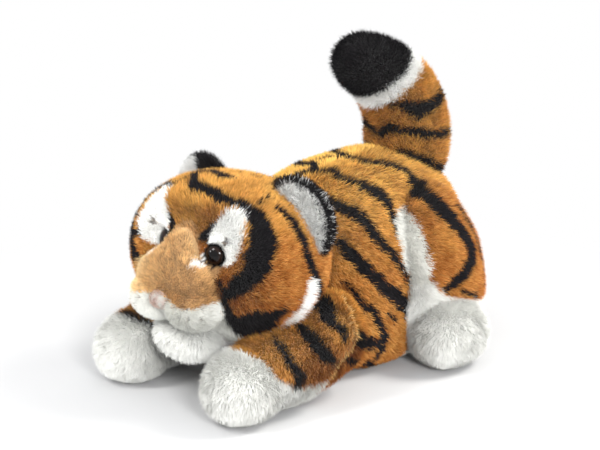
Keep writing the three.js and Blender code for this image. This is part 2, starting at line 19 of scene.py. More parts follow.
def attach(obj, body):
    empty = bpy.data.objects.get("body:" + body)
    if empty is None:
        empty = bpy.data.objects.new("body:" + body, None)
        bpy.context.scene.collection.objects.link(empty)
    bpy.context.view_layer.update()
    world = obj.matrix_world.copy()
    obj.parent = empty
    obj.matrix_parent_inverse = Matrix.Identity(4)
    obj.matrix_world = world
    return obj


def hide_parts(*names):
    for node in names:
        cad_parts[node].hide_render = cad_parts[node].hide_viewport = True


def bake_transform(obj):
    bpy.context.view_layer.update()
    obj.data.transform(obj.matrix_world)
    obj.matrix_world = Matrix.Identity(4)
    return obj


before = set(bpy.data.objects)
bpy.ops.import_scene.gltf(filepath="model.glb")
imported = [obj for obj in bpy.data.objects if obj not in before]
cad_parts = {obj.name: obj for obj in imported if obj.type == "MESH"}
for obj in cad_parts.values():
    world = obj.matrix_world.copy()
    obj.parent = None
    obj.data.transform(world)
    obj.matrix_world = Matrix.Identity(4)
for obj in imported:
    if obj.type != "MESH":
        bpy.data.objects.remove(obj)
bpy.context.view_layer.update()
MM = 0.001
HANDS = (("left", 1), ("right", -1))
random = np.random.default_rng(7)

# %% [markdown]
# ## Camera
#
# A product photograph is taken from a little above and well back, with a long lens, so that
# nothing looks stretched. A near camera with a short lens would swell the head. This one
# stands 45 degrees round, 17 degrees up and 1.1 m away.

# %% Camera
aim = Vector((-21.2, 17.2, 75.0)) * MM
AZIMUTH, ELEVATION, DISTANCE = math.radians(45), math.radians(17), 1.1
FOCAL_LENGTH, SENSOR_WIDTH = 108.24, 36
back = Vector((
    math.sin(AZIMUTH) * math.cos(ELEVATION),
    -math.cos(AZIMUTH) * math.cos(ELEVATION),
    math.sin(ELEVATION),
))
lens = bpy.data.cameras.new("camera")
lens.lens = FOCAL_LENGTH
lens.sensor_width = SENSOR_WIDTH
camera = bpy.data.objects.new("camera", lens)
camera.location = aim + back * DISTANCE
camera.rotation_euler = back.to_track_quat("Z", "Y").to_euler()
bpy.context.scene.collection.objects.link(camera)
bpy.context.scene.camera = camera
print("camera at", [round(v, 3) for v in camera.location])

# %% [markdown]
# ## Building with nodes
#
# The studio, the cloths and the pile are all trees of nodes. Making, setting and linking a
# node takes a line for each socket. One helper does it all, so that a tree reads as a list
# of what feeds what.

# %% One helper for every node
def socket(node, key):
    """An input by its number, or by its name among those that are in use."""
    if isinstance(key, int):
        return node.inputs[key]
    return next(s for s in node.inputs if s.name == key and s.enabled)


def add_node(tree, kind, feeds=(), **settings):
    """Adds a node, sets it up, and fills its inputs with links or plain values."""
    node = tree.nodes.new(kind)
    for name, value in settings.items():
        setattr(node, name, value)
    for key, value in dict(feeds).items():
        if isinstance(value, bpy.types.NodeSocket):
            tree.links.new(value, socket(node, key))
        else:
            socket(node, key).default_value = value
    return node


def maths(tree, operation, a, b):
    return add_node(tree, "ShaderNodeMath", {0: a, 1: b}, operation=operation).outputs[0]


def new_material(name):
    material = bpy.data.materials.new(name)
    material.use_nodes = True
    material.node_tree.nodes.clear()
    return material, material.node_tree


print("Blender", bpy.app.version_string)

# %% [markdown]
# ## Background and fill light
#
# The toy is photographed against plain white. A white world would also light it from all
# sides and flatten it. So the world gives a softer, slightly cool fill, and is white only to
# rays that come from the camera, a mirror or glass.

# %% World
world = bpy.data.worlds.new("studio")
world.use_nodes = True
bpy.context.scene.world = world
tree = world.node_tree
tree.nodes.clear()
fill_light = add_node(tree, "ShaderNodeBackground", {
    "Color": (0.96, 0.98, 1.0, 1), "Strength": 0.88,
})
white = add_node(tree, "ShaderNodeBackground", {"Color": (1, 1, 1, 1), "Strength": 1.0})
rays = add_node(tree, "ShaderNodeLightPath").outputs
seen = maths(tree, "MAXIMUM", rays["Is Camera Ray"], rays["Is Glossy Ray"])
seen = maths(tree, "MAXIMUM", seen, rays["Is Transmission Ray"])
mixed = add_node(tree, "ShaderNodeMixShader", {
    0: seen, 1: fill_light.outputs[0], 2: white.outputs[0],
})
add_node(tree, "ShaderNodeOutputWorld", {"Surface": mixed.outputs[0]})
bpy.context.scene.view_settings.view_transform = "Standard"
print("world nodes:", len(tree.nodes))

# %% [markdown]
# ## Floor
#
# The toy lies on a white sweep whose far end can't be told from the background. Under the toy
# the floor is a matt grey-white that takes its shadow. Further out it fades, for the camera
# alone, to the same plain white as the world, so no edge or horizon shows.

# %% Floor
HALF_FLOOR, FADE_FROM, FADE_TO = 3.0, 0.1, 0.3
floor_mesh = bpy.data.meshes.new("floor")
corners = [(x * HALF_FLOOR, y * HALF_FLOOR, 0) for x, y in ((-1, -1), (1, -1), (1, 1), (-1, 1))]
floor_mesh.from_pydata(corners, [], [(0, 1, 2, 3)])
floor = bpy.data.objects.new("floor", floor_mesh)
bpy.context.scene.collection.objects.link(floor)
material, tree = new_material("white_sweep")
sweep = add_node(tree, "ShaderNodeBsdfDiffuse", {"Color": (0.6, 0.6, 0.605, 1)})
plain = add_node(tree, "ShaderNodeEmission")
where = add_node(tree, "ShaderNodeTexCoord").outputs["Object"]
reach = add_node(tree, "ShaderNodeVectorMath", {0: where}, operation="LENGTH")
far_off = add_node(tree, "ShaderNodeMapRange", {
    "Value": reach.outputs["Value"], "From Min": FADE_FROM, "From Max": FADE_TO,
}, interpolation_type="SMOOTHSTEP")
camera_ray = add_node(tree, "ShaderNodeLightPath").outputs["Is Camera Ray"]
whitened = maths(tree, "MULTIPLY", far_off.outputs[0], camera_ray)
fade = add_node(tree, "ShaderNodeMixShader", {
    0: whitened, 1: sweep.outputs[0], 2: plain.outputs[0],
})
add_node(tree, "ShaderNodeOutputMaterial", {"Surface": fade.outputs[0]})
floor_mesh.materials.append(material)
print("floor fades to white from", FADE_FROM, "to", FADE_TO, "m")

# %% [markdown]
# ## Lamps
#
# Four soft lamps stand round the toy. The key lamp at the front models the forms, the edge
# lamp from behind puts gold on the back and the tail, and the side lamp lifts the flank. A
# small low one is there only to put a glint in the eyes. Their size keeps the shadows soft.

# %% Lamps
LIT_PLACE = Vector((0, 0, 0.07))


def soft_lamp(name, place, size, watts, colour):
    lamp = bpy.data.lights.new(name, "AREA")
    lamp.shape = "SQUARE"
    lamp.size = size
    lamp.energy = watts
    lamp.color = colour
    holder = bpy.data.objects.new(name, lamp)
    holder.location = place
    holder.rotation_euler = (Vector(place) - LIT_PLACE).to_track_quat("Z", "Y").to_euler()
    bpy.context.scene.collection.objects.link(holder)


soft_lamp("key_lamp", (-0.25, -1.1, 1.25), 0.5, 13, (1.0, 0.99, 0.97))
soft_lamp("edge_lamp", (0.75, 0.85, 1.15), 0.6, 23, (1.0, 0.98, 0.94))
soft_lamp("side_lamp", (1.25, -0.7, 0.7), 0.35, 17, (1.0, 1.0, 1.0))
soft_lamp("catch_lamp", (-0.55, -1.05, 0.56), 0.14, 2.5, (1.0, 1.0, 1.0))

# %% [markdown]
# ## Stuffed forms
#
# The CAD forms are rings round a spine that swell and close at both ends. The same rule is
# written here once more, with many more rings, so that the cloth is smooth where the solids
# are faceted. Lengths are in millimetres, in the frame's own axes.

# %% How a stuffed form swells
def shares_at(shares, along):
    """Reads a row of shares smoothly, with a curve through each of them."""
    shares = np.asarray(shares, float)
    place = np.clip(along, 0, 1) * (len(shares) - 1)
    step = np.minimum(place.astype(int), len(shares) - 2)
    t = place - step
    before, this = shares[np.maximum(step - 1, 0)], shares[step]
    then, after = shares[step + 1], shares[np.minimum(step + 2, len(shares) - 1)]
    slope_a, slope_b = (then - before) / 2, (after - this) / 2
    return (
        (2 * this - 2 * then + slope_a + slope_b) * t**3
        + (-3 * this + 3 * then - 2 * slope_a - slope_b) * t**2
        + slope_a * t
        + this
    )


def form(start, end, side, width, rise, drop, blunt, square=2.2, low_square=2.2,
         side_shares=(1, 1), rise_shares=(1, 1), drop_shares=(1, 1)):
    start, end, side = (np.asarray(v, float) for v in (start, end, side))
    length = np.linalg.norm(end - start)
    forward = (end - start) / length
    return {
        "start": start, "length": length, "forward": forward, "side": side,
        "up": np.cross(side, forward), "width": width, "rise": rise, "drop": drop,
        "blunt": blunt, "square": square, "low_square": low_square,
        "side_shares": side_shares, "rise_shares": rise_shares, "drop_shares": drop_shares,
    }


def swell(shape, along):
    return np.clip(1 - np.abs(2 * along - 1) ** shape["blunt"], 0, 1) ** (1 / shape["blunt"])


def form_points(shape, rings, around):
    """Rings of points over a form, from one end to the other."""
    along = (1 - np.cos(np.pi * np.arange(rings + 1) / rings)) / 2
    angle = 2 * np.pi * np.arange(around) / around
    cos, sin = np.cos(angle), np.sin(angle)
    power = np.where(sin < 0, shape["low_square"], shape["square"])
    round_ = (np.abs(cos) ** power + np.abs(sin) ** power) ** (-1 / power)
    swollen = swell(shape, along)
    width = shape["width"] * shares_at(shape["side_shares"], along) * swollen
    rise = shape["rise"] * shares_at(shape["rise_shares"], along) * swollen
    drop = shape["drop"] * shares_at(shape["drop_shares"], along) * swollen
    height = np.where(sin > 0, rise[:, None], drop[:, None])
    centre = shape["start"] + along[:, None] * shape["length"] * shape["forward"]
    return (
        centre[:, None]
        + (width[:, None] * cos * round_)[..., None] * shape["side"]
        + (height * sin * round_)[..., None] * shape["up"]
    )


tenth = float(swell({"blunt": 3}, 0.1))
print("a tenth of the way along, a blunt form has", round(tenth, 2), "of its width")

# %% [markdown]
# ## Where one form presses on another
#
# Two stuffed parts that touch flatten each other. A cloth simulation could find where, but
# slowly. Here every point that lies inside its neighbour is moved along one way until it is
# just outside it, which gives the same flat.

# %% Inside and clear of a form
def inside_form(shape, points, grow=0.0):
    """Which points lie inside a form that has been grown all round."""
    away = points - shape["start"]
    along = (away @ shape["forward"] + grow) / (shape["length"] + 2 * grow)
    swollen = swell(shape, np.clip(along, 0, 1)) + 1e-9
    width = (shape["width"] * shares_at(shape["side_shares"], along) + grow) * swollen
    rise = (shape["rise"] * shares_at(shape["rise_shares"], along) + grow) * swollen
    drop = (shape["drop"] * shares_at(shape["drop_shares"], along) + grow) * swollen
    across, high = away @ shape["side"], away @ shape["up"]
    height = np.where(high > 0, rise, drop)
    power = np.where(high > 0, shape["square"], shape["low_square"])
    full = np.abs(across / width) ** power + np.abs(high / height) ** power
    return (along > 0) & (along < 1) & (full < 1)


def push_clear(points, blocked, way, furthest=70.0, halvings=18):
    """Moves blocked points along a way until they are just outside what blocks them."""
    way = np.asarray(way, float) / np.linalg.norm(way)
    stuck = blocked(points)
    near, far = np.zeros(stuck.sum()), np.full(stuck.sum(), furthest)
    base = points[stuck]
    for _ in range(halvings):
        middle = (near + far) / 2
        held = blocked(base + middle[:, None] * way)
        near, far = np.where(held, middle, near), np.where(held, far, middle)
    points[stuck] = base + far[:, None] * way
    return points


print("pushing is exact to", round(70 / 2**18, 4), "mm")

# %% [markdown]
# ## The forms of this toy
#
# These are the maker's own shapes: body, head, muzzle bridge, front leg, thigh and tail, and
# the balls and ovals for the neck, shoulders, paws, feet, cheeks, chin and nose. Each has its
# ends, its half width, rise and drop, and rows of shares that say how full it is on the way.

# %% The forms of this toy
TORSO = form(
    (0, -37.25, 52), (0, 117.75, 52), (1, 0, 0), 51, 65, 52.5, 2.6, low_square=6,
    side_shares=(1.05, 1.1, 1.04, 1, 0.98, 0.95, 0.88),
    rise_shares=(0.68, 0.87, 0.98, 1, 1, 1, 1),
    drop_shares=(0.84, 0.98, 1, 1, 0.99, 0.9, 0.78),
)
HEAD = form(
    (0, -99.25, 80), (0, -7.25, 80), (1, 0, 0), 55, 44, 47, 3,
    side_shares=(1.1, 1.1, 1.06, 1, 0.92, 0.77, 0.66),
    rise_shares=(0.86, 0.94, 0.99, 0.96, 0.88, 0.77, 0.7),
    drop_shares=(0.9, 0.94, 0.98, 1, 0.98, 0.94, 0.86),
)
BRIDGE = form(
    (0, -87.25, 101), (0, -107.25, 58), (1, 0, 0), 26, 13, 13, 2.4,
    side_shares=(0.4, 0.42, 0.52, 0.92, 1.08, 1.12, 1.1),
)
SLEEVE = form((50, -9.75, 36), (46, -93.25, 21.5), (-1, 0, 0), 22, 22, 22, 3)
THIGH = form(
    (50.1, 63.75, 4), (40.9, 63.75, 104), (-1, 0, 0), 24, 32, 32, 2.6,
    side_shares=(1, 1, 1, 1, 0.95, 0.82, 0.7),
    rise_shares=(1, 1, 1, 0.98, 0.88, 0.68, 0.5),
)
TAIL_PATH = np.array([
    (90.4, 99), (92, 107), (93.2, 123), (90, 139.8), (80, 155.8), (64, 167.8), (40.4, 180.4),
]) + (-3.25, 0)
TAIL_SHARES = (1.18, 1.22, 1.22, 1.16, 1.07, 0.96, 0.85)
NECK = (0, -3.25, 66)
SHOULDER, SHOULDER_SIZE = (50, -33.25, 36), (23.5, 23.5, 23.5)
PAW, PAW_SIZE = (46, -94.75, 19.8), (20.5, 22, 20)
FOOT, FOOT_SIZE = (68, 53.75, 19.5), (21, 25.5, 20)
EAR_ROOT = (37, -43.25, 103.5)
EYE, EYE_WAY = (20.2, -89.65, 89.9), (0.403, -0.905, 0.139)
PAD, PAD_SIZE = (14.5, -100.25, 61.5), (16.5, 16, 12.5)
CHIN, CHIN_SIZE = (0, -92.25, 39.5), (19, 14.5, 12)
NOSE, NOSE_SIZE = (0, -112.25, 65), (7.5, 5.5, 5)
print("body form:", round(TORSO["length"]), "mm long, head form:", round(HEAD["length"]), "mm")

# %% [markdown]
# ## From points to a skin
#
# A stuffed limb has no crease where its sleeve meets its paw. Joining two meshes with a
# boolean would leave one. So forms that are sewn as one are laid over each other, remeshed in
# one skin, and smoothed.

# %% Meshes from points
def mesh_object(name, points, faces):
    mesh = bpy.data.meshes.new(name)
    mesh.from_pydata((np.asarray(points) * MM).tolist(), [], [tuple(map(int, f)) for f in faces])
    mesh.update()
    obj = bpy.data.objects.new(name, mesh)
    bpy.context.scene.collection.objects.link(obj)
    return obj


def ring_faces(rings, around):
    faces = []
    for ring in range(rings - 1):
        for step in range(around):
            here, there = ring * around + step, ring * around + (step + 1) % around
            faces.append((here, here + around, there + around, there))
    return faces


def closed_rings(rows):
    """Points and faces of rings that close to a point at each end."""
    inner = rows[1:-1]
    count, around = inner.shape[:2]
    faces = ring_faces(count, around)
    first, last = count * around, count * around + 1
    for step in range(around):
        following = (step + 1) % around
        faces.append((first, step, following))
        faces.append((last, (count - 1) * around + following, (count - 1) * around + step))
    points = np.vstack([inner.reshape(-1, 3), rows[0][:1], rows[-1][:1]])
    return points, faces


def oval_points(centre, halves, turn=0.0, rings=28, around=48):
    ball = form((0, 0, -1), (0, 0, 1), (1, 0, 0), 1, 1, 1, 2, square=2, low_square=2)
    points = form_points(ball, rings, around) * np.asarray(halves, float)
    cos, sin = math.cos(math.radians(turn)), math.sin(math.radians(turn))
    spun = points.copy()
    spun[..., 0] = points[..., 0] * cos - points[..., 1] * sin
    spun[..., 1] = points[..., 0] * sin + points[..., 1] * cos
    return spun + centre


def sided(points, flip):
    """Points of the left side as they are, or mirrored to the right."""
    return np.asarray(points, float) * (flip, 1, 1)


print("a ball has", len(closed_rings(oval_points((0, 0, 0), (1, 1, 1)))[0]), "points")


# %% Reading and moving the points of a mesh
def three_each(values, name):
    """Reads three numbers from every point or attribute value."""
    flat = np.empty(len(values) * 3, np.float32)
    values.foreach_get(name, flat)
    return flat.reshape(-1, 3).astype(float)


def get_points(obj):
    return three_each(obj.data.vertices, "co") / MM


def get_normals(obj):
    return three_each(obj.data.vertices, "normal")


def set_points(obj, points):
    obj.data.vertices.foreach_set("co", (points * MM).astype(np.float32).ravel())
    obj.data.update()


def shade_smooth(mesh):
    mesh.polygons.foreach_set("use_smooth", np.ones(len(mesh.polygons), bool))


def finished_mesh(obj):
    """The mesh that an object's modifiers make, with the modifiers taken off."""
    bpy.context.view_layer.update()
    evaluated = obj.evaluated_get(bpy.context.evaluated_depsgraph_get())
    made = bpy.data.meshes.new_from_object(evaluated)
    obj.modifiers.clear()
    return made


def outward(obj):
    """Turns every face outwards after a mirror or a joining."""
    work = bmesh.new()
    work.from_mesh(obj.data)
    bmesh.ops.remove_doubles(work, verts=work.verts, dist=1e-6)
    bmesh.ops.recalc_face_normals(work, faces=work.faces)
    work.to_mesh(obj.data)
    work.free()
    shade_smooth(obj.data)
    obj.data.update()


print("points are handled in mm, meshes in m")


# %% One skin from several forms
def one_skin(name, parts, voxel=2.0, rounds=6):
    """Joins overlapping forms in one smooth closed skin."""
    points, faces, base = [], [], 0
    for rows in parts:
        p, f = closed_rings(rows)
        points.append(p)
        faces += [tuple(i + base for i in face) for face in f]
        base += len(p)
    obj = mesh_object(name, np.vstack(points), faces)
    outward(obj)
    remesh = obj.modifiers.new("remesh", "REMESH")
    remesh.mode = "VOXEL"
    remesh.voxel_size = voxel * MM
    smooth = obj.modifiers.new("smooth", "SMOOTH")
    smooth.factor = 0.5
    smooth.iterations = rounds
    obj.data = finished_mesh(obj)
    obj.data.name = name
    shade_smooth(obj.data)
    return obj


def rest_on_floor(points, floor_gap=0.3):
    points[:, 2] = np.maximum(points[:, 2], floor_gap)
    return points


skins = {}
print("a skin's faces are 2 mm wide where nothing finer is asked for")

# %% [markdown]
# ## Unevenness
#
# Fibre never fills a toy evenly, and no stripe is cut straight. Both take their wander from
# one block of random numbers with a fixed seed, read smoothly, so that every run is the same.

# %% Uneven noise for lumps and stripe edges
CELLS = 24
LATTICE = random.random((CELLS, CELLS, CELLS, 4))


def noise(points, size, channel=0):
    """Smooth noise from 0 to 1 over points, whose lumps are about this many millimetres."""
    place = np.asarray(points) / size + 100 + 7.3 * channel
    cell = np.floor(place).astype(int)
    t = place - cell
    t = t * t * (3 - 2 * t)
    total = 0
    for dx in (0, 1):
        for dy in (0, 1):
            for dz in (0, 1):
                weight = (
                    np.where(dx, t[:, 0], 1 - t[:, 0])
                    * np.where(dy, t[:, 1], 1 - t[:, 1])
                    * np.where(dz, t[:, 2], 1 - t[:, 2])
                )
                x, y, z = ((cell + (dx, dy, dz)) % CELLS).T
                total = total + weight * LATTICE[x, y, z, channel]
    return total


def stuff_unevenly(obj, depth, size=22):
    points, normals = get_points(obj), get_normals(obj)
    set_points(obj, points + normals * ((noise(points, size) - 0.6) * 2 * depth)[:, None])


print("noise block:", LATTICE.shape)

# %% [markdown]
# ## Torso
#
# On the real toy the back cover and the belly panel make one stuffed bag. It could be made of
# two panels that meet at a seam, but pile hides the seam, so one skin is shaped instead. The
# rump ends behind the head, which presses a flat in it, and the belly lies on the floor.

# %% Torso skin
skins["torso_skin"] = one_skin("torso_skin", [form_points(TORSO, 60, 96)], rounds=3)
stuff_unevenly(skins["torso_skin"], 1.0, 30)
torso_points = push_clear(
    get_points(skins["torso_skin"]), lambda p: inside_form(HEAD, p, 2.5), (0, 1, 0)
)
set_points(skins["torso_skin"], rest_on_floor(torso_points))
print("torso skin faces:", len(skins["torso_skin"].data.polygons))

# %% [markdown]
# ## Head
#
# The head is a ball of cloth whose face is drawn in: a maker pulls a thread between the eyes,
# and each eye's washer pulls a round hollow. A sculpted mesh could show both. Two short rules
# that move the skin's points do the same and stay exact where the eyes sit.

# %% Head skin
HOLLOW_RADIUS, HOLLOW_OUT = 12.0, 11.7
BROW_PULL, BROW_HIGH = 5.5, 98


def eye_hollows(points):
    """The brow is drawn in between the eyes, and each eye sits in a round hollow."""
    brow = np.exp(-((points[:, 0] / 30) ** 4 + ((points[:, 2] - BROW_HIGH) / 13) ** 4))
    points[:, 1] += BROW_PULL * brow * (points[:, 1] < -70)
    for _, flip in HANDS:
        way = sided(EYE_WAY, flip)
        away = points - (sided(EYE, flip) + HOLLOW_OUT * way)
        deep = away @ way
        aside = np.linalg.norm(away - deep[:, None] * way, axis=1)
        bottom = -np.sqrt(np.clip(HOLLOW_RADIUS**2 - aside**2, 0, None))
        held = (aside < HOLLOW_RADIUS) & (deep > bottom) & (deep < HOLLOW_RADIUS)
        points[held] += (bottom - deep)[held][:, None] * way
    return points


skins["head_skin"] = one_skin("head_skin", [form_points(HEAD, 48, 96)], voxel=1.8, rounds=3)
stuff_unevenly(skins["head_skin"], 0.6, 26)
set_points(skins["head_skin"], eye_hollows(get_points(skins["head_skin"])))
print("head skin faces:", len(skins["head_skin"].data.polygons))

# %% [markdown]
# ## Neck
#
# A band of cloth joins head and body. It is a stuffed ball cut flat on both sides, so that it
# stays inside its neighbours and still fills the gap when the head turns on it.

# %% Neck skin
NECK_SIZE, NECK_FRONT, NECK_BACK = (40, 40, 40), -22, -8
neck_rows = oval_points(NECK, NECK_SIZE, rings=32, around=64)
skins["neck_skin"] = one_skin("neck_skin", [neck_rows], rounds=1)
neck_points = get_points(skins["neck_skin"])
neck_points[:, 1] = np.clip(neck_points[:, 1], NECK_FRONT, NECK_BACK)
neck_points = push_clear(neck_points, lambda p: inside_form(HEAD, p, -3.0), (0, 1, 0))
set_points(skins["neck_skin"], neck_points)
print("neck skin faces:", len(skins["neck_skin"].data.polygons))

# %% [markdown]
# ## Muzzle
#
# A tan bridge runs from the brow to the nose, two stuffed pads carry the whiskers, and a
# small chin and a velour nose finish the face. They are sewn on as pieces of their own, so
# each is a skin of its own. They are small, so their skins are finer than the body's.

# %% Muzzle skins
skins["bridge_skin"] = one_skin("bridge_skin", [form_points(BRIDGE, 32, 64)], voxel=1.2, rounds=4)
skins["chin_skin"] = one_skin("chin_skin", [oval_points(CHIN, CHIN_SIZE)], voxel=1.2, rounds=2)
skins["nose_skin"] = one_skin("nose_skin", [oval_points(NOSE, NOSE_SIZE)], voxel=0.7, rounds=3)
for hand, flip in HANDS:
    rows = oval_points(sided(PAD, flip), PAD_SIZE)
    skins[f"pad_skin_{hand}"] = one_skin(f"pad_skin_{hand}", [rows], voxel=1.2, rounds=2)
print("muzzle skins:", [name for name in skins if name[:3] in ("bri", "chi", "nos", "pad")])

# %% [markdown]
# ## Front legs
#
# A sleeve, a stuffed shoulder and a paw are sewn as one limb, so their forms are joined in one
# skin. Where the limb meets the flank a seam pulls the cloth down by a few millimetres. The
# seam could be a groove cut in the mesh. A step is enough, because only its edge shows.

# %% Front leg skins
SEAM_HIGH = (12, 22, 29, 33, 40, 49, 55, 62)
SEAM_FRONT = (-56, -48, -42, -38, -33, -32, -30, -26)
SEAM_STEP = 4.0


def behind_seam(points):
    """How far points lie behind the seam where the front leg meets the flank."""
    return points[:, 1] - np.interp(points[:, 2], SEAM_HIGH, SEAM_FRONT)


def sleeve_rows():
    rows = form_points(SLEEVE, 40, 56)
    rows[..., 1] = np.minimum(rows[..., 1], SHOULDER[1])
    return rows


def sink_behind_seam(points):
    step = np.clip(behind_seam(points) / 3, 0, 1)
    outer = np.clip((np.abs(points[:, 0]) - 48) / 8, 0, 1)
    points[:, 0] -= np.sign(points[:, 0]) * SEAM_STEP * step * step * (3 - 2 * step) * outer
    return points


def front_leg_skin(hand, flip):
    front = one_skin(f"front_leg_skin_{hand}", [
        sided(sleeve_rows(), flip),
        sided(oval_points(SHOULDER, SHOULDER_SIZE), flip),
        sided(oval_points(PAW, PAW_SIZE), flip),
    ], rounds=10)
    stuff_unevenly(front, 0.7, 16)
    points = push_clear(
        get_points(front), lambda p: inside_form(HEAD, p, 1.5), (0.35 * flip, 0, -1)
    )
    set_points(front, rest_on_floor(sink_behind_seam(points)))
    return front


print("the seam steps down by", SEAM_STEP, "mm")

# %% [markdown]
# ## Hind legs
#
# A hind leg is folded: a flat round thigh that lies against the body, with a long foot under
# it. The thigh's inner side is pushed out of the body, so the two lie flat on each other.

# %% Hind leg skins, and all four legs
FOOT_TURN = 18


def hind_leg_skin(hand, flip):
    hind = one_skin(f"hind_leg_skin_{hand}", [
        sided(form_points(THIGH, 44, 60), flip),
        sided(oval_points(FOOT, FOOT_SIZE, turn=FOOT_TURN), flip),
    ], rounds=8)
    stuff_unevenly(hind, 0.7, 18)
    points = push_clear(get_points(hind), lambda p: inside_form(TORSO, p, 0.6), (flip, 0, 0))
    set_points(hind, rest_on_floor(points))
    return hind


for hand, flip in HANDS:
    for leg in (front_leg_skin(hand, flip), hind_leg_skin(hand, flip)):
        skins[leg.name] = leg
print("leg skin faces:", [len(skins[k].data.polygons) for k in skins if "leg" in k])

# %% [markdown]
# ## Tail
#
# The tail is a stuffed tube that curls up over the rump. A curve with a bevel could make it,
# but its ends would need closing. Rings that follow a smooth path swell and close as every
# other form here does.

# %% Tail skin
TAIL_RADIUS, TAIL_BLUNT = 19.0, 3.4


def path_points(path, along, step=1e-3):
    """Points and directions along a smooth path in the middle plane."""
    y, z = shares_at(path[:, 0], along), shares_at(path[:, 1], along)
    dy = shares_at(path[:, 0], along + step) - shares_at(path[:, 0], along - step)
    dz = shares_at(path[:, 1], along + step) - shares_at(path[:, 1], along - step)
    centre = np.stack([np.zeros_like(y), y, z], 1)
    way = np.stack([np.zeros_like(y), dy, dz], 1)
    return centre, way / np.linalg.norm(way, axis=1)[:, None]


def tail_rows(rings, around, radius=TAIL_RADIUS):
    along = (1 - np.cos(np.pi * np.arange(rings + 1) / rings)) / 2
    centre, way = path_points(TAIL_PATH, np.clip(along, 0.001, 0.999))
    centre[-1] += way[-1] * 0.5
    full = swell({"blunt": TAIL_BLUNT}, along)
    full[: rings // 2] = np.maximum(full[: rings // 2], np.linspace(0.2, 1, rings // 2))
    full[0] = 0
    full = full * shares_at(TAIL_SHARES, along)
    side = np.array((-1.0, 0, 0))
    up = np.cross(side, way)
    angle = 2 * np.pi * np.arange(around) / around
    return (
        centre[:, None]
        + (radius * full[:, None] * np.cos(angle))[..., None] * side
        + (radius * full[:, None] * np.sin(angle))[..., None] * up[:, None]
    )


skins["tail_skin"] = one_skin("tail_skin", [tail_rows(48, 48)], rounds=4)
print("tail skin faces:", len(skins["tail_skin"].data.polygons))

# %% [markdown]
# ## Ears
#
# An ear is two round cloths sewn together, white in front and black behind, and cupped a
# little towards the front. It has no stuffing to speak of, so it is a thin rounded plate that
# is bent, flattened where it is sewn in, and turned to lean out from the head.

# %% Ear skins
EAR_RADIUS, EAR_THICK, EAR_CUP, EAR_SHIFT, EAR_FOOT = 23, 4.6, 3.2, 1.5, 0.22
EAR_TURN, EAR_LEAN = 10, 52


def ear_frame(flip):
    """The turn and the root of one ear."""
    turn = Matrix.Rotation(math.radians(EAR_TURN * flip), 3, "Z")
    lean = Matrix.Rotation(math.radians(EAR_LEAN * flip), 3, "Y")
    return np.array(turn @ lean), sided(EAR_ROOT, flip)


def ear_rows(flip):
    """A rounded plate that is cupped a little towards the front."""
    turn, root = ear_frame(flip)
    rows = oval_points((0, 0, 0), (EAR_RADIUS, EAR_THICK, EAR_RADIUS), rings=30, around=56)
    across, high = rows[..., 0] / EAR_RADIUS, np.clip(rows[..., 2] / EAR_RADIUS, 0, 1)
    rows[..., 1] -= EAR_CUP * (across**2 + high**2) - EAR_SHIFT
    rows[..., 2] = np.where(rows[..., 2] < 0, rows[..., 2] * EAR_FOOT, rows[..., 2])
    return rows @ turn.T + root


def ear_place(points):
    """Which ear points belong to, that ear's turn, and the points in its own frame."""
    flip = 1 if points[:, 0].mean() > 0 else -1
    turn, root = ear_frame(flip)
    return flip, turn, (points - root) @ turn


for hand, flip in HANDS:
    ear = one_skin(f"ear_skin_{hand}", [ear_rows(flip)], voxel=1.1, rounds=2)
    skins[ear.name] = ear
print("skins:", len(skins))

# %% [markdown]
# ## Stripes
#
# A tiger's stripes are drawn here as lines over the skin, each a row of points with half its
# width. The left side is drawn and the right side mirrors it, as the cloth is cut from one
# folded pattern. The few lines that don't repeat are in lists that end in ONCE. A point is
# black where its distance to a line, in half widths, plus some noise is under a fixed number,
# so the edges are never straight. An image would be quicker to read, but it blurs close up.

# %% Stripes of the body
TORSO_STRIPES = [
    [(3, 12, 114, 1.9), (9, 16, 114, 2.0), (14, 14, 113, 2.1), (17, 14, 112, 2.2),
     (23, 18, 110, 2.6), (29, 22, 107, 3.0), (34, 27, 103, 3.9), (39, 29, 98, 3.0),
     (42, 28, 92, 2.3), (46, 27, 86, 1.6), (48, 26, 80, 0.8)],
    [(0, 36, 117, 2.0), (7, 38, 117, 2.1), (14, 40, 115, 2.2), (18, 46, 114, 2.4),
     (22, 52, 112, 2.6), (26, 57, 109, 2.5), (30, 58, 106, 3.0), (34, 58, 102, 3.9),
     (37, 59, 98, 4.0)],
    [(19, -1, 105, 1.2), (26, -1, 101, 2.5), (33, 2, 98, 3.5), (39, 6, 94, 3.5),
     (43, 8, 89, 3.0), (46, 11, 82, 2.8), (49, 16, 75, 2.3), (51, 23, 67, 2.2),
     (51, 28, 59, 1.6), (51, 33, 49, 1.0)],
    [(40, -10, 83, 2.9), (43, -9, 78, 3.0), (48, -4, 71, 3.0), (51, 4, 62, 3.5),
     (52, 13, 53, 3.7), (52, 24, 44, 3.7), (51, 31, 37, 3.4), (50, 33, 30, 2.1)],
    [(45, -15, 63, 1.0), (48, -11, 58, 1.2), (49, -8, 53, 1.4), (50, -5, 48, 1.8),
     (51, 2, 42, 2.2), (52, 5, 36, 2.3), (52, 9, 29, 2.3), (51, 12, 22, 2.5), (51, 11, 18, 2.5),
     (50, 8, 12, 1.8)],
    [(52, 14, 38, 1.0), (52, 22, 31, 0.9)],
    [(47, -8, 29, 2.9), (50, -1, 24, 3.4), (51, 5, 21, 2.6)],
    [(48, 2, 10, 1.8), (46, 12, 5, 1.8)],
    [(0, 112, 84, 2.0), (16, 111, 80, 3.2), (30, 106, 72, 3.4), (38, 100, 60, 2.6)],
    [(0, 117, 60, 2.0), (16, 116, 54, 3.2), (30, 110, 44, 3.4), (38, 103, 34, 2.4)],
    [(0, 114, 34, 1.6), (16, 112, 30, 2.8), (28, 106, 22, 2.4)],
]
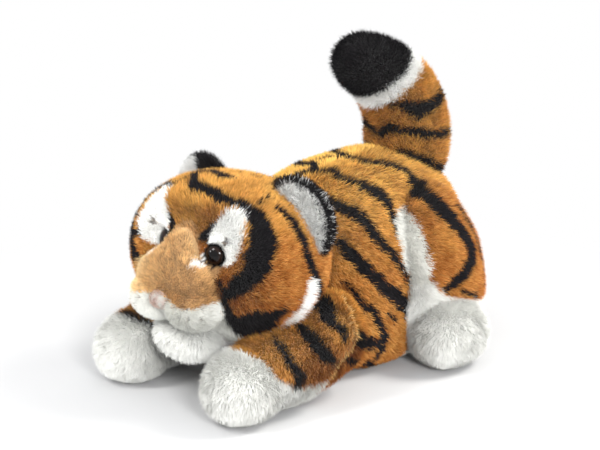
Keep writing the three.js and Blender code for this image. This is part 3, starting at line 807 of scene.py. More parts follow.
TORSO_STRIPES_ONCE = [
    [(-9, 2, 109, 1.8), (-3, 9, 112, 1.9), (3, 12, 114, 1.9)],
    [(-9, 23, 115, 1.7), (-7, 30, 116, 1.8), (-1, 35, 117, 1.9)],
]
print("body stripes:", len(TORSO_STRIPES))

# %% Stripes of the head
HEAD_STRIPES = [
    [(30, -77, 116, 1.8), (33, -76, 115, 2.3), (39, -76, 112, 3.6), (45, -78, 107, 4.5),
     (48, -80, 102, 5.4), (50, -83, 96, 5.8), (50, -86, 91, 5.4), (49, -89, 86, 4.6),
     (45, -92, 80, 4.2), (40, -94, 75, 3.7), (36, -95, 72, 2.8)],
    [(31, -97, 79, 1.6), (34, -96, 73, 1.9), (34, -95, 68, 2.3), (34, -94, 62, 3.4),
     (35, -89, 54, 4.2), (43, -86, 55, 5.8), (49, -82, 58, 5.8), (52, -76, 60, 4.4),
     (54, -71, 63, 1.8)],
    [(35, -86, 50, 4.4), (43, -82, 50, 4.8), (50, -76, 53, 4.2)],
    [(40, -62, 113, 1.5), (45, -60, 108, 2.4), (49, -58, 103, 2.8), (53, -57, 96, 2.8),
     (55, -58, 90, 2.2)],
    [(55, -55, 88, 2.6), (55, -53, 82, 2.8), (54, -48, 74, 2.8), (50, -42, 64, 2.6)],
    [(34, -70, 116, 0.9), (31, -60, 118, 0.9)],
    [(5, -48, 121, 1.0), (10, -46, 120, 1.0)],
    [(18, -87, 107, 1.2), (15, -90, 102, 2.2), (12, -92, 99, 2.1), (15, -92, 97, 1.1)],
    [(0, -34, 117, 1.8), (12, -33, 116, 2.6), (24, -34, 112, 2.8), (33, -35, 105, 2.2)],
    [(0, -22, 109, 1.8), (14, -21, 107, 2.8), (26, -22, 99, 3.0), (35, -25, 88, 2.4)],
    [(10, -13, 92, 2.0), (22, -14, 86, 2.8), (32, -18, 74, 2.4)],
]
HEAD_STRIPES_ONCE = [
    [(-12, -77, 120, 2.8), (-1, -79, 120, 2.9), (8, -79, 119, 2.7), (16, -80, 118, 2.3),
     (23, -79, 117, 2.0), (28, -76, 117, 1.9)],
    [(-10, -78, 120, 2.4), (-17, -70, 121, 2.4), (-22, -62, 121, 2.4), (-17, -60, 122, 2.5),
     (-7, -63, 123, 2.5), (3, -65, 123, 2.4), (6, -63, 123, 1.8)],
    [(-29, -80, 115, 1.2), (-25, -77, 118, 1.3), (-23, -73, 119, 1.3), (-21, -69, 121, 1.1)],
    [(-48, -90, 84, 1.8), (-40, -93, 91, 1.8), (-35, -93, 95, 1.7), (-31, -94, 95, 1.5)],
]
print("head stripes:", len(HEAD_STRIPES))

# %% Stripes of the front legs
FRONT_LEG_STRIPES = [
    [(57, -62, 48, 2.4), (61, -61, 45, 3.3), (67, -59, 40, 3.6), (69, -55, 34, 3.3),
     (67, -46, 28, 2.0)],
    [(52, -42, 58, 3.8), (54, -42, 57, 3.8), (62, -44, 52, 3.3), (64, -42, 47, 2.9),
     (70, -41, 45, 2.2), (71, -41, 40, 1.2)],
    [(52, -77, 44, 0.9), (58, -78, 42, 1.5), (63, -78, 38, 1.8), (65, -78, 34, 1.9),
     (67, -75, 30, 2.8), (68, -73, 25, 2.8), (67, -75, 19, 2.2)],
    [(34, -66, 40, 1.6), (27, -64, 31, 2.4), (25, -60, 21, 1.8)],
    [(33, -44, 48, 1.6), (27, -42, 38, 2.4), (27, -40, 26, 1.8)],
    [(69, -33, 39, 2.8), (70, -28, 36, 3.5), (63, -15, 29, 2.4)],
    [(68, -35, 26, 1.7), (62, -22, 21, 1.7)],
    [(57, -17, 52, 1.4), (60, -15, 44, 1.6)],
]
FRONT_LEG_STRIPES_ONCE = [
    [(-50, -99, 39, 2.2), (-43, -99, 39, 2.3), (-35, -98, 36, 2.3), (-32, -96, 34, 2.0)],
]
print("front leg stripes:", len(FRONT_LEG_STRIPES))

# %% Stripes of the thighs and the tail
THIGH_STRIPES = [
    [(38, 60, 103, 3.4), (42, 53, 103, 3.9), (47, 51, 100, 4.0), (53, 55, 96, 4.0),
     (58, 59, 90, 4.0), (61, 63, 83, 4.0), (65, 68, 74, 3.6), (66, 72, 67, 3.6),
     (68, 70, 61, 3.5), (69, 64, 55, 3.1), (69, 56, 51, 2.8), (68, 49, 48, 2.0)],
    [(55, 72, 90, 1.5), (59, 76, 81, 1.6), (62, 80, 68, 1.6), (63, 82, 56, 1.6),
     (64, 83, 41, 1.7)],
    [(70, 61, 44, 1.6), (70, 73, 38, 1.8)],
    [(56, 86, 80, 1.6), (60, 92, 68, 2.4), (60, 94, 56, 2.4), (57, 94, 44, 1.8)],
]
TAIL_STRIPES = [
    [(10, 69, 119, 1.3), (14, 72, 118, 1.9), (19, 77, 115, 2.2), (21, 84, 111, 2.4),
     (21, 92, 107, 2.8), (17, 100, 103, 2.4), (0, 110, 100, 2.0)],
    [(0, 67, 128, 1.5), (5, 66, 132, 2.6), (8, 67, 134, 3.0), (14, 71, 132, 2.3),
     (18, 76, 131, 2.3), (22, 83, 129, 2.2), (22, 95, 128, 2.0), (14, 106, 126, 1.8),
     (0, 112, 124, 1.8)],
    [(11, 61, 150, 1.3), (15, 65, 151, 1.7), (18, 72, 147, 3.9), (20, 78, 145, 4.5),
     (21, 85, 147, 3.5), (19, 95, 149, 2.4), (0, 104, 152, 2.0)],
]
print("thigh and tail stripes:", len(THIGH_STRIPES), len(TAIL_STRIPES))


# %% Distance to a stripe
def near_lines(points, lines):
    """The least distance from each point to the lines, in half widths of the line."""
    least = np.full(len(points), 1e9)
    for line in lines:
        line = np.asarray(line, float)
        for a, b in zip(line[:-1], line[1:]):
            span = b[:3] - a[:3]
            t = np.clip(((points - a[:3]) @ span) / (span @ span), 0, 1)
            away = np.linalg.norm(points - a[:3] - t[:, None] * span, axis=1)
            least = np.minimum(least, away / (a[3] + t * (b[3] - a[3])))
    return least


def folded(points):
    return np.abs(points * (1, 0, 0)) + points * (0, 1, 1)


def ragged(points, amount=0.55):
    return (noise(points, 3.2, 1) - 0.5) * amount + (noise(points, 9, 2) - 0.5) * amount * 0.7


def inside_outline(across, high, outline):
    """Which places lie inside an outline that is drawn as a row of corners."""
    inside = np.zeros(len(across), bool)
    for (x0, z0), (x1, z1) in zip(outline, outline[1:] + outline[:1]):
        if z0 == z1:
            continue
        crossing = x0 + (high - z0) * (x1 - x0) / (z1 - z0)
        inside ^= ((z0 > high) != (z1 > high)) & (across < crossing)
    return inside


print("a point on a stripe:", near_lines(np.array([(0.0, 117, 60)]), TORSO_STRIPES[9:10]))

# %% [markdown]
# ## Colours of the pile
#
# Each region has a rule that says which cloth a point belongs to. The rules could be masks
# painted on the mesh, but a rule can be read, changed and used at any density of pile.
# Colours are written as they look on a screen and turned to the renderer's own scale once.

# %% Cloth colours
def screen(red, green, blue):
    shade = np.array((red, green, blue)) / 255
    return np.where(shade <= 0.04045, shade / 12.92, ((shade + 0.055) / 1.055) ** 2.4)


GOLD, RUST = screen(228, 177, 88), screen(160, 89, 33)
BLACK, WHITE = screen(18, 16, 19), screen(250, 250, 247)
TAN, TAN_DEEP, TAN_PALE = screen(224, 182, 130), screen(186, 138, 88), screen(238, 208, 162)
# The duller white is the whisker pads' own colour; on the thigh panels it paints the shade of the
# crease.
DULL_WHITE_AND_PAINTED_SHADE, PAW_WHITE = screen(232, 232, 226), screen(238, 238, 234)
# Painted highlight for the lit edge of the front leg's seam.
SEAM_PAINTED_HIGHLIGHT = screen(246, 206, 140)
PINK, GREY, BROWN = screen(212, 176, 164), screen(150, 148, 148), screen(84, 62, 48)
PALE_FROM, BLACK_TO = 0.45, 0.12


def is_pale(shade):
    """Which colours are white cloth, by their weakest part."""
    return shade.min(1) > PALE_FROM


def orange_at(points, up, golden):
    # Painted light: strands and backing that face or rise upwards lean towards gold, as if lit
    # from above; the noise adds tone that differs at random.
    mix = np.clip(golden + 0.42 * up + (noise(points, 14, 3) - 0.5) * 0.4, 0, 1)[:, None]
    return GOLD * mix + RUST * (1 - mix)


print("gold:", GOLD.round(3), "rust:", RUST.round(3))


# %% Orange cloth with stripes
STRIPE_EDGE = 1.3


def striped(points, up, lines, extra=(), golden=0.24):
    """Orange cloth with black stripes on both sides, and extra ones where they are drawn."""
    colour = orange_at(points, up, golden)
    near = near_lines(folded(points), lines)
    if len(extra):
        near = np.minimum(near, near_lines(points, extra))
    colour[(near + ragged(points)) < STRIPE_EDGE] = BLACK
    return colour


def uneven_edge(points, size):
    """How far the edge between two cloths wanders, in millimetres."""
    return (noise(points, 4, 1) - 0.5) * size


print("stripes end at", STRIPE_EDGE, "half widths")

# %% [markdown]
# ## Colours of the body
#
# The back and sides are orange, and painted light makes the top of the back more golden. In
# front of each thigh a white panel shows, dulled with painted shade, and the belly is white.
# The panel's edge is a row of heights and places, as on a paper pattern.

# %% Body colours
SIDE_PANEL = ([28, 40, 54, 67, 78, 88, 93, 96], [37, 36, 33, 27, 27, 28, 33, 50])


def torso_colour(points, up):
    # Painted light: the top of the back is more golden, as if lit from above.
    golden = 0.36 + 0.3 * np.clip((points[:, 2] - 88) / 20, 0, 1)
    colour = striped(points, up, TORSO_STRIPES, TORSO_STRIPES_ONCE, golden)
    front_edge = np.interp(points[:, 2], *SIDE_PANEL) + uneven_edge(points, 2.5)
    panelled = (np.abs(points[:, 0]) > 34) & (points[:, 1] > front_edge) & (points[:, 2] < 94)
    # Painted shade: the panel in the crease before the thigh is a duller white.
    colour[panelled & (points[:, 1] < 66)] = DULL_WHITE_AND_PAINTED_SHADE
    colour[points[:, 2] < 2 + noise(points, 8, 1)] = WHITE
    return colour


print("side panel reaches", SIDE_PANEL[0][-1], "mm up")

# %% [markdown]
# ## Colours of the legs
#
# The sleeve is orange, and the paw and the underside are white. At the seam the pile parts:
# a painted highlight makes its lit edge golden, and painted shade darkens the dip just behind
# it. A cast shadow alone is too faint there, because strands cover the step.

# %% Leg colours
CUFF = ([12, 21, 25, 29, 36, 40], [-72, -78, -82, -87, -92, -98])
THIGH_PANEL = ([47, 53, 62, 72, 82, 90, 94, 97], [67, 64.5, 63, 60, 56, 50, 44, 30])
ANKLE = ([40, 46, 53, 60, 67, 86, 100], [52, 47, 41, 38, 36, 33, 32])


def front_leg_colour(points, up):
    colour = striped(points, up, FRONT_LEG_STRIPES, FRONT_LEG_STRIPES_ONCE)
    behind = behind_seam(points)
    outer = (np.abs(points[:, 0]) > 54) & (points[:, 2] > 18)
    # Painted highlight on the seam's lit edge, and painted shade in the dip just behind it.
    colour[outer & (behind > -2.4) & (behind < 0)] = SEAM_PAINTED_HIGHLIGHT
    painted_dip_shade = outer & (behind >= 0) & (behind < 5)
    colour[painted_dip_shade] *= (0.5 + 0.1 * behind[painted_dip_shade])[:, None]
    edge = uneven_edge(points, 2.5)
    cuff = np.interp(points[:, 2], *CUFF) - 6 * (points[:, 0] < 0)
    low = np.where((points[:, 1] < -45) & (behind < 0), 19, 4)
    colour[(points[:, 1] < cuff + edge) | (points[:, 2] < low + edge)] = PAW_WHITE
    return colour


def hind_leg_colour(points, up):
    colour = striped(points, up, THIGH_STRIPES, golden=0.12)
    side = folded(points)
    edge = uneven_edge(points, 2.0)
    panel, ankle = np.interp(side[:, 2], *THIGH_PANEL), np.interp(side[:, 1], *ANKLE)
    # Painted shade: the inner-thigh panel and the side against the body are a duller white.
    colour[(side[:, 1] < 60) & (side[:, 0] < panel + edge) & (side[:, 2] < 97)] = DULL_WHITE_AND_PAINTED_SHADE
    colour[(side[:, 0] < 46 + edge) & (side[:, 2] < 78)] = DULL_WHITE_AND_PAINTED_SHADE
    colour[side[:, 2] < ankle + edge] = PAW_WHITE
    return colour


print("cuff is cut on", len(CUFF[0]), "points, ankle on", len(ANKLE[0]))

# %% [markdown]
# ## Colours of the tail
#
# Two slanted planes cut the tail into its orange part, its white band and its black tip,
# because straight seams across a curved tube are what a sewn tail has.

# %% Tail colours
BAND_FROM, BAND_WAY = (14.1, 66.3, 157.3), (-0.154, -0.578, 0.801)
TIP_FROM, TIP_WAY = (10, 57.2, 163.2), (-0.12, -0.52, 0.846)


def past(points, place, way):
    """How far points lie past a plane."""
    return (points - place) @ np.array(way)


def tail_colour(points, up):
    colour = striped(points, up, TAIL_STRIPES, golden=0.3)
    edge = uneven_edge(points, 1.6)
    colour[past(points, BAND_FROM, BAND_WAY) > edge] = WHITE
    colour[past(points, TIP_FROM, TIP_WAY) > edge] = BLACK
    return colour


band = float(past(np.array(TIP_FROM), BAND_FROM, BAND_WAY))
print("the white band is about", round(band), "mm wide")

# %% [markdown]
# ## Colours of the face
#
# The face is a patchwork: white brows, a tan mask that runs from between the eyes to the
# nose, white whisker pads with grey spots, white ruffs along the jaw, and black round the
# eyes. Each patch is an outline as on a pattern, seen from the front. The mask isn't
# mirrored, because on the far cheek it fades into the orange.

# %% Patches of the face
BROW = [
    (25, 115), (31, 115), (36, 111), (40, 104), (42, 97), (41, 92), (36, 88), (30, 86),
    (20, 84), (15, 85), (13, 89), (16, 94), (17, 97), (16.5, 101), (18.5, 106), (22, 112),
]
MASK = [
    (-12, 100), (-4, 105), (3, 106), (8, 101), (10, 96), (11, 92), (13, 88), (18, 84), (27, 84),
    (29, 79), (31, 73), (31, 58), (-46, 58), (-48, 68), (-36, 78), (-26, 82), (-18, 84),
    (-13, 88), (-11, 92),
]
RUFF = [
    [(55, -54, 73, 3.6), (54, -54, 68, 4.4), (52, -56, 61, 4.6), (50, -62, 56, 4.6),
     (46, -66, 50, 4.0), (42, -71, 47, 3.0), (33, -75, 43, 2.0)],
]
SPOTS = [
    (15, -116, 63), (18, -115, 59), (23, -113, 59), (28, -108, 60), (28, -107, 64), (22, -113, 64),
]
LIP = ([0, 6, 9, 13, 19, 27, 31], [66, 67, 67, 66, 64.5, 65, 67])
CHEEK_STRIPE = HEAD_STRIPES[1:2]
EYE_RIM, EYE_RIM_SIZE = (21.8, -93.2, 90.4), 7.4
INNER_CORNER, OUTER_CORNER, BROW_SPOT = (15, -97, 85.5), (33, -94, 92.5), (31, -91, 100)


def distance(points, place):
    return np.linalg.norm(points - np.asarray(place, float), axis=1)


def near_spots(points, spots):
    return np.min([distance(folded(points), spot) for spot in spots], axis=0)


print("whisker spots on each side:", len(SPOTS))


# %% Colours of the face and the nose
def mask_colour(points, up):
    """Tan that is deeper on the near side, paler past the middle, and orange far out."""
    near_side = (folded(points)[:, 0] - 12) / 20 + (noise(points, 9, 2) - 0.5) * 0.8
    deep = np.clip(near_side, 0, 1) * (points[:, 0] > 0)
    pale = np.clip((-points[:, 0] - 12) / 18, 0, 1)
    tan = TAN + (TAN_DEEP - TAN) * deep[:, None] + (TAN_PALE - TAN) * pale[:, None]
    far_side = np.clip((-points[:, 0] - 34) / 12, 0, 0.85)[:, None]
    return tan + (orange_at(points, up, 0.3) - tan) * far_side


def face_colour(points, up):
    side = folded(points)
    across, high = side[:, 0], side[:, 2]
    # Painted light: the forehead above the brows is more golden, to lift the shade of the brow's
    # dent.
    golden = 0.06 + 0.14 * np.clip((high - 94) / 12, 0, 1)
    colour = striped(points, up, HEAD_STRIPES, HEAD_STRIPES_ONCE, golden)
    edge = ragged(points, 0.35)
    front = points[:, 1] < -76
    colour[front & inside_outline(across + edge * 5, high + edge * 4, BROW)] = WHITE
    colour[(distance(side, BROW_SPOT) < 2.4) & (noise(points, 1.5, 3) > 0.35)] = GREY
    mask = front & inside_outline(points[:, 0] + edge * 4, high + edge * 4, MASK)
    colour[mask] = mask_colour(points, up)[mask]
    lip = np.interp(across, *LIP)
    white = (front & (across < 32) & (high < lip + edge * 2)) | (high < 43 + edge * 3)
    on_stripe = (near_lines(side, CHEEK_STRIPE) + edge < 1) & (across > 31)
    colour[white & ~on_stripe] = DULL_WHITE_AND_PAINTED_SHADE
    colour[near_lines(side, RUFF) + edge < 1] = WHITE
    colour[(near_spots(points, SPOTS) < 1.0) & white] = GREY
    colour[distance(side, EYE_RIM) + edge < EYE_RIM_SIZE] = BLACK
    colour[distance(side, INNER_CORNER) + edge * 2 < 2.2] = BROWN
    colour[distance(side, OUTER_CORNER) + edge * 2 < 1.4] = BROWN
    return colour


def nose_colour(points, up):
    white = np.clip(noise(points, 2.0, 1) * 1.6 - 0.3, 0, 1)[:, None]
    return PINK * (1 - white) + DULL_WHITE_AND_PAINTED_SHADE * 0.82 * white


def chin_colour(points, up):
    return np.repeat(PAW_WHITE[None], len(points), 0)


print("face between the eyes:", face_colour(np.array([(0.0, -100, 90)]), np.zeros(1)).round(2))

# %% [markdown]
# ## Colours of the ears
#
# The front cloth of an ear is white and the back cloth is black. The black wraps over the rim
# and the upper side, and a little further on the ear that is turned away. Two meshes could
# stand for two cloths, but one plate with a rule has no gap at its rim.

# %% Ear colours
def ear_depth(local):
    """How far points lie behind the ear's cupped middle surface."""
    rim = np.hypot(local[:, 0], local[:, 2])
    return local[:, 1] + EAR_CUP * (rim / EAR_RADIUS) ** 2 - EAR_SHIFT


def ear_colour(points, up):
    """White inside the ear and black behind it and round its rim."""
    colour = np.repeat(WHITE[None], len(points), 0)
    flip, _, local = ear_place(points)
    rim_from, upper_to = (22.3, -19) if flip > 0 else (23.6, -14)
    depth, wander = ear_depth(local), noise(points, 3, 2) - 0.5
    behind = depth > 0.1 - 0.6 * (noise(points, 4, 1) - 0.5)
    edge = (np.hypot(local[:, 0], local[:, 2]) > rim_from) & (depth > -1.1 + 0.6 * wander)
    upper = local[:, 0] * flip < upper_to + wander * 3
    colour[behind | upper | edge] = BLACK
    return colour


print("ear rim:", ear_colour(np.array([EAR_ROOT]) + (0, 3, 20), None).round(2))

# %% [markdown]
# ## Which way the pile lies
#
# A maker brushes each panel one way: back and down over the body, out from the nose over the
# face, towards the paws on the legs and towards the tip of the tail. Each rule gives a
# direction for every point, and the skin keeps only its part along the surface.

# %% Combing rules
def combed(vector):
    """The same way all over."""
    return lambda points: np.repeat(np.asarray(vector, float)[None], len(points), 0)


def away_from(centre, pull=(0, 0, 0)):
    """Outwards from one place, with a pull to one side."""
    def rule(points):
        away = points - np.asarray(centre, float)
        away /= np.linalg.norm(away, axis=1)[:, None] + 1e-9
        return away + np.asarray(pull, float)
    return rule


def torso_comb(points):
    side = np.sign(points[:, 0:1]) * np.array((0.5, 0, 0))
    return side + np.array((0, 0.55, -0.75))


def front_leg_comb(points):
    flip = np.sign(points[:, 0:1])
    down = np.clip((points[:, 1:2] + 60) / -40, 0, 1)
    along = np.array((0, -0.8, -0.35)) + flip * np.array((0.25, 0, 0))
    return along + down * np.array((0, 0.2, -0.5))


def hind_leg_comb(points):
    flip = np.sign(points[:, 0:1])
    foot = np.clip((46 - points[:, 2:3]) / 10, 0, 1)
    thigh_way = flip * np.array((0.55, 0, 0)) + np.array((0, 0.6, -0.35))
    middle = np.array((56.0, 58, 44)) * np.concatenate([flip, flip * 0 + 1, flip * 0 + 1], 1)
    foot_way = (points - middle) / (distance(points, middle)[:, None] + 1e-9)
    return thigh_way * (1 - foot) + (foot_way + np.array((0, -0.2, -0.2))) * foot


def tail_comb(points):
    along = np.linspace(0.02, 0.98, 60)
    centre, way = path_points(TAIL_PATH, along)
    nearest = np.argmin(((points[:, None] - centre[None]) ** 2).sum(2), 1)
    return way[nearest]


def ear_comb(points):
    """Out from the ear's foot, and more upwards than sideways."""
    _, turn, local = ear_place(points)
    out = np.stack([local[:, 0] * 0.6, np.zeros(len(local)), local[:, 2] + 8], 1)
    out /= np.linalg.norm(out, axis=1)[:, None] + 1e-9
    return out @ turn.T


print("the back's pile lies along", torso_comb(np.array([(30.0, 20, 110)])).round(2))

# %% [markdown]
# ## One strand
#
# A strand is a narrow blade that leaves the cloth steeply and then lies over, as pressed
# pile does. It is a four-sided foot and a three-sided tip, and no more, because it is
# repeated hundreds of thousands of times. Its shade rises from root to tip, since light
# doesn't reach the roots. Hair curves would need thickness and can't be exported.

# %% The blade
BLADE = [(0, 0.5, 0), (0, -0.5, 0), (0.14, 0.42, 0.46), (0.14, -0.42, 0.46), (0.46, 0, 0.86)]
BLADE_FACES = [(0, 1, 3, 2), (2, 3, 4)]
BLADE_CORNERS = np.concatenate(BLADE_FACES)
BLADE_SIZES = np.array([len(face) for face in BLADE_FACES])
BLADE_PLACE = np.array([(0.15, 0.1), (0.85, 0.1), (0.25, 0.5), (0.75, 0.5), (0.5, 0.9)])
BLADE_SHADE = np.array((0.48, 0.48, 0.92, 0.92, 1.2))
blade_mesh = bpy.data.meshes.new("blade")
blade_mesh.from_pydata(BLADE, [], BLADE_FACES)
blade = bpy.data.objects.new("blade", blade_mesh)
bpy.context.scene.collection.objects.link(blade)
print("blade points:", len(BLADE), "corners:", len(BLADE_CORNERS))

# %% [markdown]
# ## The tree that grows the pile
#
# A particle system could comb and scatter hair too. Geometry Nodes are clearer: they scatter
# points over a skin, turn a blade at each point so that it leans along the comb, and bend
# whole tufts the same way with a noise. Its sizes are named inputs, so one tree serves every
# piece.

# %% Which way a blade stands, and how long it is
def vector_maths(tree, operation, a, b):
    key = "Scale" if operation == "SCALE" else 1
    return add_node(tree, "ShaderNodeVectorMath", {0: a, key: b}, operation=operation).outputs[0]


def attribute(tree, name, kind):
    node = add_node(tree, "GeometryNodeInputNamedAttribute", {"Name": name}, data_type=kind)
    return node.outputs["Attribute"]


def blade_turn(tree, given, normal):
    """Leans a blade along the comb, with some chance and a swing for each tuft."""
    upright = add_node(tree, "FunctionNodeAxesToRotation", {
        0: normal, 1: attribute(tree, "comb", "FLOAT_VECTOR"),
    }, primary_axis="Z", secondary_axis="X")
    chance = add_node(tree, "FunctionNodeRandomValue", {
        0: (-1, -1, -1), 1: (1, 1, 1), "Seed": given["Seed"],
    }, data_type="FLOAT_VECTOR")
    strand_turn = vector_maths(tree, "MULTIPLY", chance.outputs[0], (0.9, 0.7, 1.0))
    strand_turn = vector_maths(tree, "SCALE", strand_turn, given["Unevenness"])
    tufts = add_node(tree, "ShaderNodeTexNoise", {
        "Detail": 1.0, "Scale": maths(tree, "DIVIDE", 1.0, given["Tuft size"]),
    })
    tuft_turn = vector_maths(tree, "SUBTRACT", tufts.outputs["Color"], (0.5, 0.5, 0.5))
    tuft_turn = vector_maths(tree, "MULTIPLY", tuft_turn, (0.8, 1.2, 2.6))
    tuft_turn = vector_maths(tree, "SCALE", tuft_turn, given["Tuft turn"])
    together = vector_maths(tree, "ADD", strand_turn, tuft_turn)
    as_turn = add_node(tree, "FunctionNodeEulerToRotation", {0: together})
    return add_node(tree, "FunctionNodeRotateRotation", {
        0: upright.outputs[0], 1: as_turn.outputs[0],
    }, rotation_space="LOCAL").outputs[0]


def blade_size(tree, given):
    """A blade's length, by the skin's own share and some chance, and its width."""
    vary = add_node(tree, "FunctionNodeRandomValue", {
        "Min": 0.72, "Max": 1.12, "Seed": maths(tree, "ADD", given["Seed"], 5),
    }, data_type="FLOAT")
    length = maths(tree, "MULTIPLY", given["Pile length"], attribute(tree, "pile", "FLOAT"))
    length = maths(tree, "MULTIPLY", length, next(o for o in vary.outputs if o.enabled))
    sizes = {0: length, 1: given["Strand width"], 2: length}
    return add_node(tree, "ShaderNodeCombineXYZ", sizes).outputs[0]


print("a blade is between 0.72 and 1.12 of its pile's length")


# %% The whole tree
def pile_tree():
    """Geometry nodes that scatter blades over a skin, lean them along its comb and tuft them."""
    tree = bpy.data.node_groups.new("grow_pile", "GeometryNodeTree")
    face = tree.interface
    face.new_socket("Skin", in_out="INPUT", socket_type="NodeSocketGeometry")
    for name, value in (
        ("Strands per square metre", 2e6), ("Pile length", 0.008), ("Strand width", 0.0005),
        ("Unevenness", 0.35), ("Tuft turn", 0.5), ("Tuft size", 0.006),
    ):
        made = face.new_socket(name, in_out="INPUT", socket_type="NodeSocketFloat")
        made.default_value = value
    face.new_socket("Seed", in_out="INPUT", socket_type="NodeSocketInt").default_value = 1
    face.new_socket("Blade", in_out="INPUT", socket_type="NodeSocketObject")
    face.new_socket("Coat", in_out="INPUT", socket_type="NodeSocketMaterial")
    face.new_socket("Pile", in_out="OUTPUT", socket_type="NodeSocketGeometry")
    given = add_node(tree, "NodeGroupInput").outputs
    cover = attribute(tree, "cover", "FLOAT")
    scatter = add_node(tree, "GeometryNodeDistributePointsOnFaces", {
        "Mesh": given["Skin"], "Seed": given["Seed"],
        "Density": maths(tree, "MULTIPLY", given["Strands per square metre"], cover),
    })
    keep_root = add_node(tree, "GeometryNodeStoreNamedAttribute", {
        "Geometry": scatter.outputs["Points"], "Name": "root",
        "Value": add_node(tree, "GeometryNodeInputPosition").outputs[0],
    }, data_type="FLOAT_VECTOR", domain="POINT")
    info = add_node(tree, "GeometryNodeObjectInfo", {"Object": given["Blade"]})
    plant = add_node(tree, "GeometryNodeInstanceOnPoints", {
        "Points": keep_root.outputs[0], "Instance": info.outputs["Geometry"],
        "Rotation": blade_turn(tree, given, scatter.outputs["Normal"]),
        "Scale": blade_size(tree, given),
    })
    real = add_node(tree, "GeometryNodeRealizeInstances", {0: plant.outputs[0]})
    paint = add_node(tree, "GeometryNodeSetMaterial", {
        "Geometry": real.outputs[0], "Material": given["Coat"],
    })
    add_node(tree, "NodeGroupOutput", {0: paint.outputs[0]})
    return tree


PILE_TREE = pile_tree()
print("pile tree nodes:", len(PILE_TREE.nodes))

# %% [markdown]
# ## Materials
#
# Pile is matt with a faint sheen, where light grazes the strands. The colour of each strand
# is an attribute, so the material only adds what changes along the fibres: fine streaks, in
# one group that the pile, the backing cloth and the velour of the nose share.

# %% Fibre group
def fibre_group():
    """Fine streaks that lighten and darken a cloth's colour."""
    group = bpy.data.node_groups.new("fibre_streaks", "ShaderNodeTree")
    for name, way, kind in (
        ("Colour", "INPUT", "Color"), ("Streak size", "INPUT", "Float"),
        ("Strength", "INPUT", "Float"), ("Colour", "OUTPUT", "Color"),
        ("Height", "OUTPUT", "Float"),
    ):
        group.interface.new_socket(name, in_out=way, socket_type="NodeSocket" + kind)
    given = add_node(group, "NodeGroupInput").outputs
    where = add_node(group, "ShaderNodeTexCoord").outputs["Object"]
    streaks = add_node(group, "ShaderNodeTexNoise", {
        "Detail": 3, "Vector": where, "Scale": given["Streak size"],
    }).outputs["Fac"]
    spread = add_node(group, "ShaderNodeMapRange", {
        "Value": streaks, "From Min": 0.25, "From Max": 0.75, "To Min": 0.7, "To Max": 1.2,
    })
    mixed = add_node(group, "ShaderNodeMix", {
        "Factor": given["Strength"], "A": given["Colour"], "B": spread.outputs[0],
    }, data_type="RGBA", blend_type="MULTIPLY")
    add_node(group, "NodeGroupOutput", {"Colour": mixed.outputs[2], "Height": streaks})
    return group


FIBRES = fibre_group()
print("fibre group nodes:", len(FIBRES.nodes))


# %% Cloth materials
def coat_colour(tree):
    return add_node(tree, "ShaderNodeAttribute", attribute_name="coat").outputs["Color"]


def cloth_material(name, streak, strength, roughness, sheen, bump=0.0):
    material, tree = new_material(name)
    streaks = tree.nodes.new("ShaderNodeGroup")
    streaks.node_tree = FIBRES
    streaks.inputs["Streak size"].default_value = streak
    streaks.inputs["Strength"].default_value = strength
    tree.links.new(coat_colour(tree), streaks.inputs["Colour"])
    shader = add_node(tree, "ShaderNodeBsdfPrincipled", {
        "Base Color": streaks.outputs["Colour"], "Roughness": roughness, "Sheen Weight": sheen,
        "Sheen Roughness": 0.5, "Specular IOR Level": 0.12,
    })
    if bump:
        raised = add_node(tree, "ShaderNodeBump", {
            "Strength": bump, "Distance": 0.0006, "Height": streaks.outputs["Height"],
        })
        tree.links.new(raised.outputs[0], shader.inputs["Normal"])
    add_node(tree, "ShaderNodeOutputMaterial", {"Surface": shader.outputs[0]})
    return material


PILE = cloth_material("plush_pile", 260.0, 0.35, 0.65, 0.08)
SKIN = cloth_material("plush_backing", 900.0, 0.8, 0.9, 0.1, bump=0.4)
VELOUR = cloth_material("nose_velour", 1400.0, 0.5, 0.8, 0.4, bump=0.3)
print("cloth materials:", [m.name for m in (PILE, SKIN, VELOUR)])

# %% [markdown]
# ## Marking a skin
#
# Each skin is marked with the comb, the length of its pile and where a neighbour covers it,
# so that it grows none there. The backing cloth between the strands gets the same colours,
# darker, because it lies in the shade of the pile.

# %% Marks on a skin
BACKING_PALE, BACKING_DEEP = 0.94, 0.68
FLOOR_TOUCH = 1.2


def store(mesh, name, values, kind):
    held = mesh.attributes.get(name) or mesh.attributes.new(name, kind, "POINT")
    field = {"FLOAT": "value", "FLOAT_VECTOR": "vector", "FLOAT_COLOR": "color"}[kind]
    held.data.foreach_set(field, np.asarray(values, np.float32).ravel())


def colour_rows(colours):
    return np.concatenate([colours, np.ones((len(colours), 1))], 1)


def mark_skin(obj, comb, colour, covered, pile=None, material=SKIN):
    points, normals = get_points(obj), get_normals(obj)
    way = comb(points)
    way = way - (way * normals).sum(1)[:, None] * normals
    way /= np.linalg.norm(way, axis=1)[:, None] + 1e-9
    hidden = covered(points) | ((points[:, 2] < FLOOR_TOUCH) & (normals[:, 2] < -0.6))
    store(obj.data, "comb", way, "FLOAT_VECTOR")
    store(obj.data, "cover", 1.0 - hidden, "FLOAT")
    store(obj.data, "pile", np.ones(len(points)) if pile is None else pile(points), "FLOAT")
    shade = colour(points, normals[:, 2])
    shade *= np.where(is_pale(shade), BACKING_PALE, BACKING_DEEP)[:, None]
    store(obj.data, "coat", colour_rows(shade), "FLOAT_COLOR")
    obj.data.materials.clear()
    obj.data.materials.append(material)


print("backing is", BACKING_DEEP, "as bright as its pile, or", BACKING_PALE, "if white")

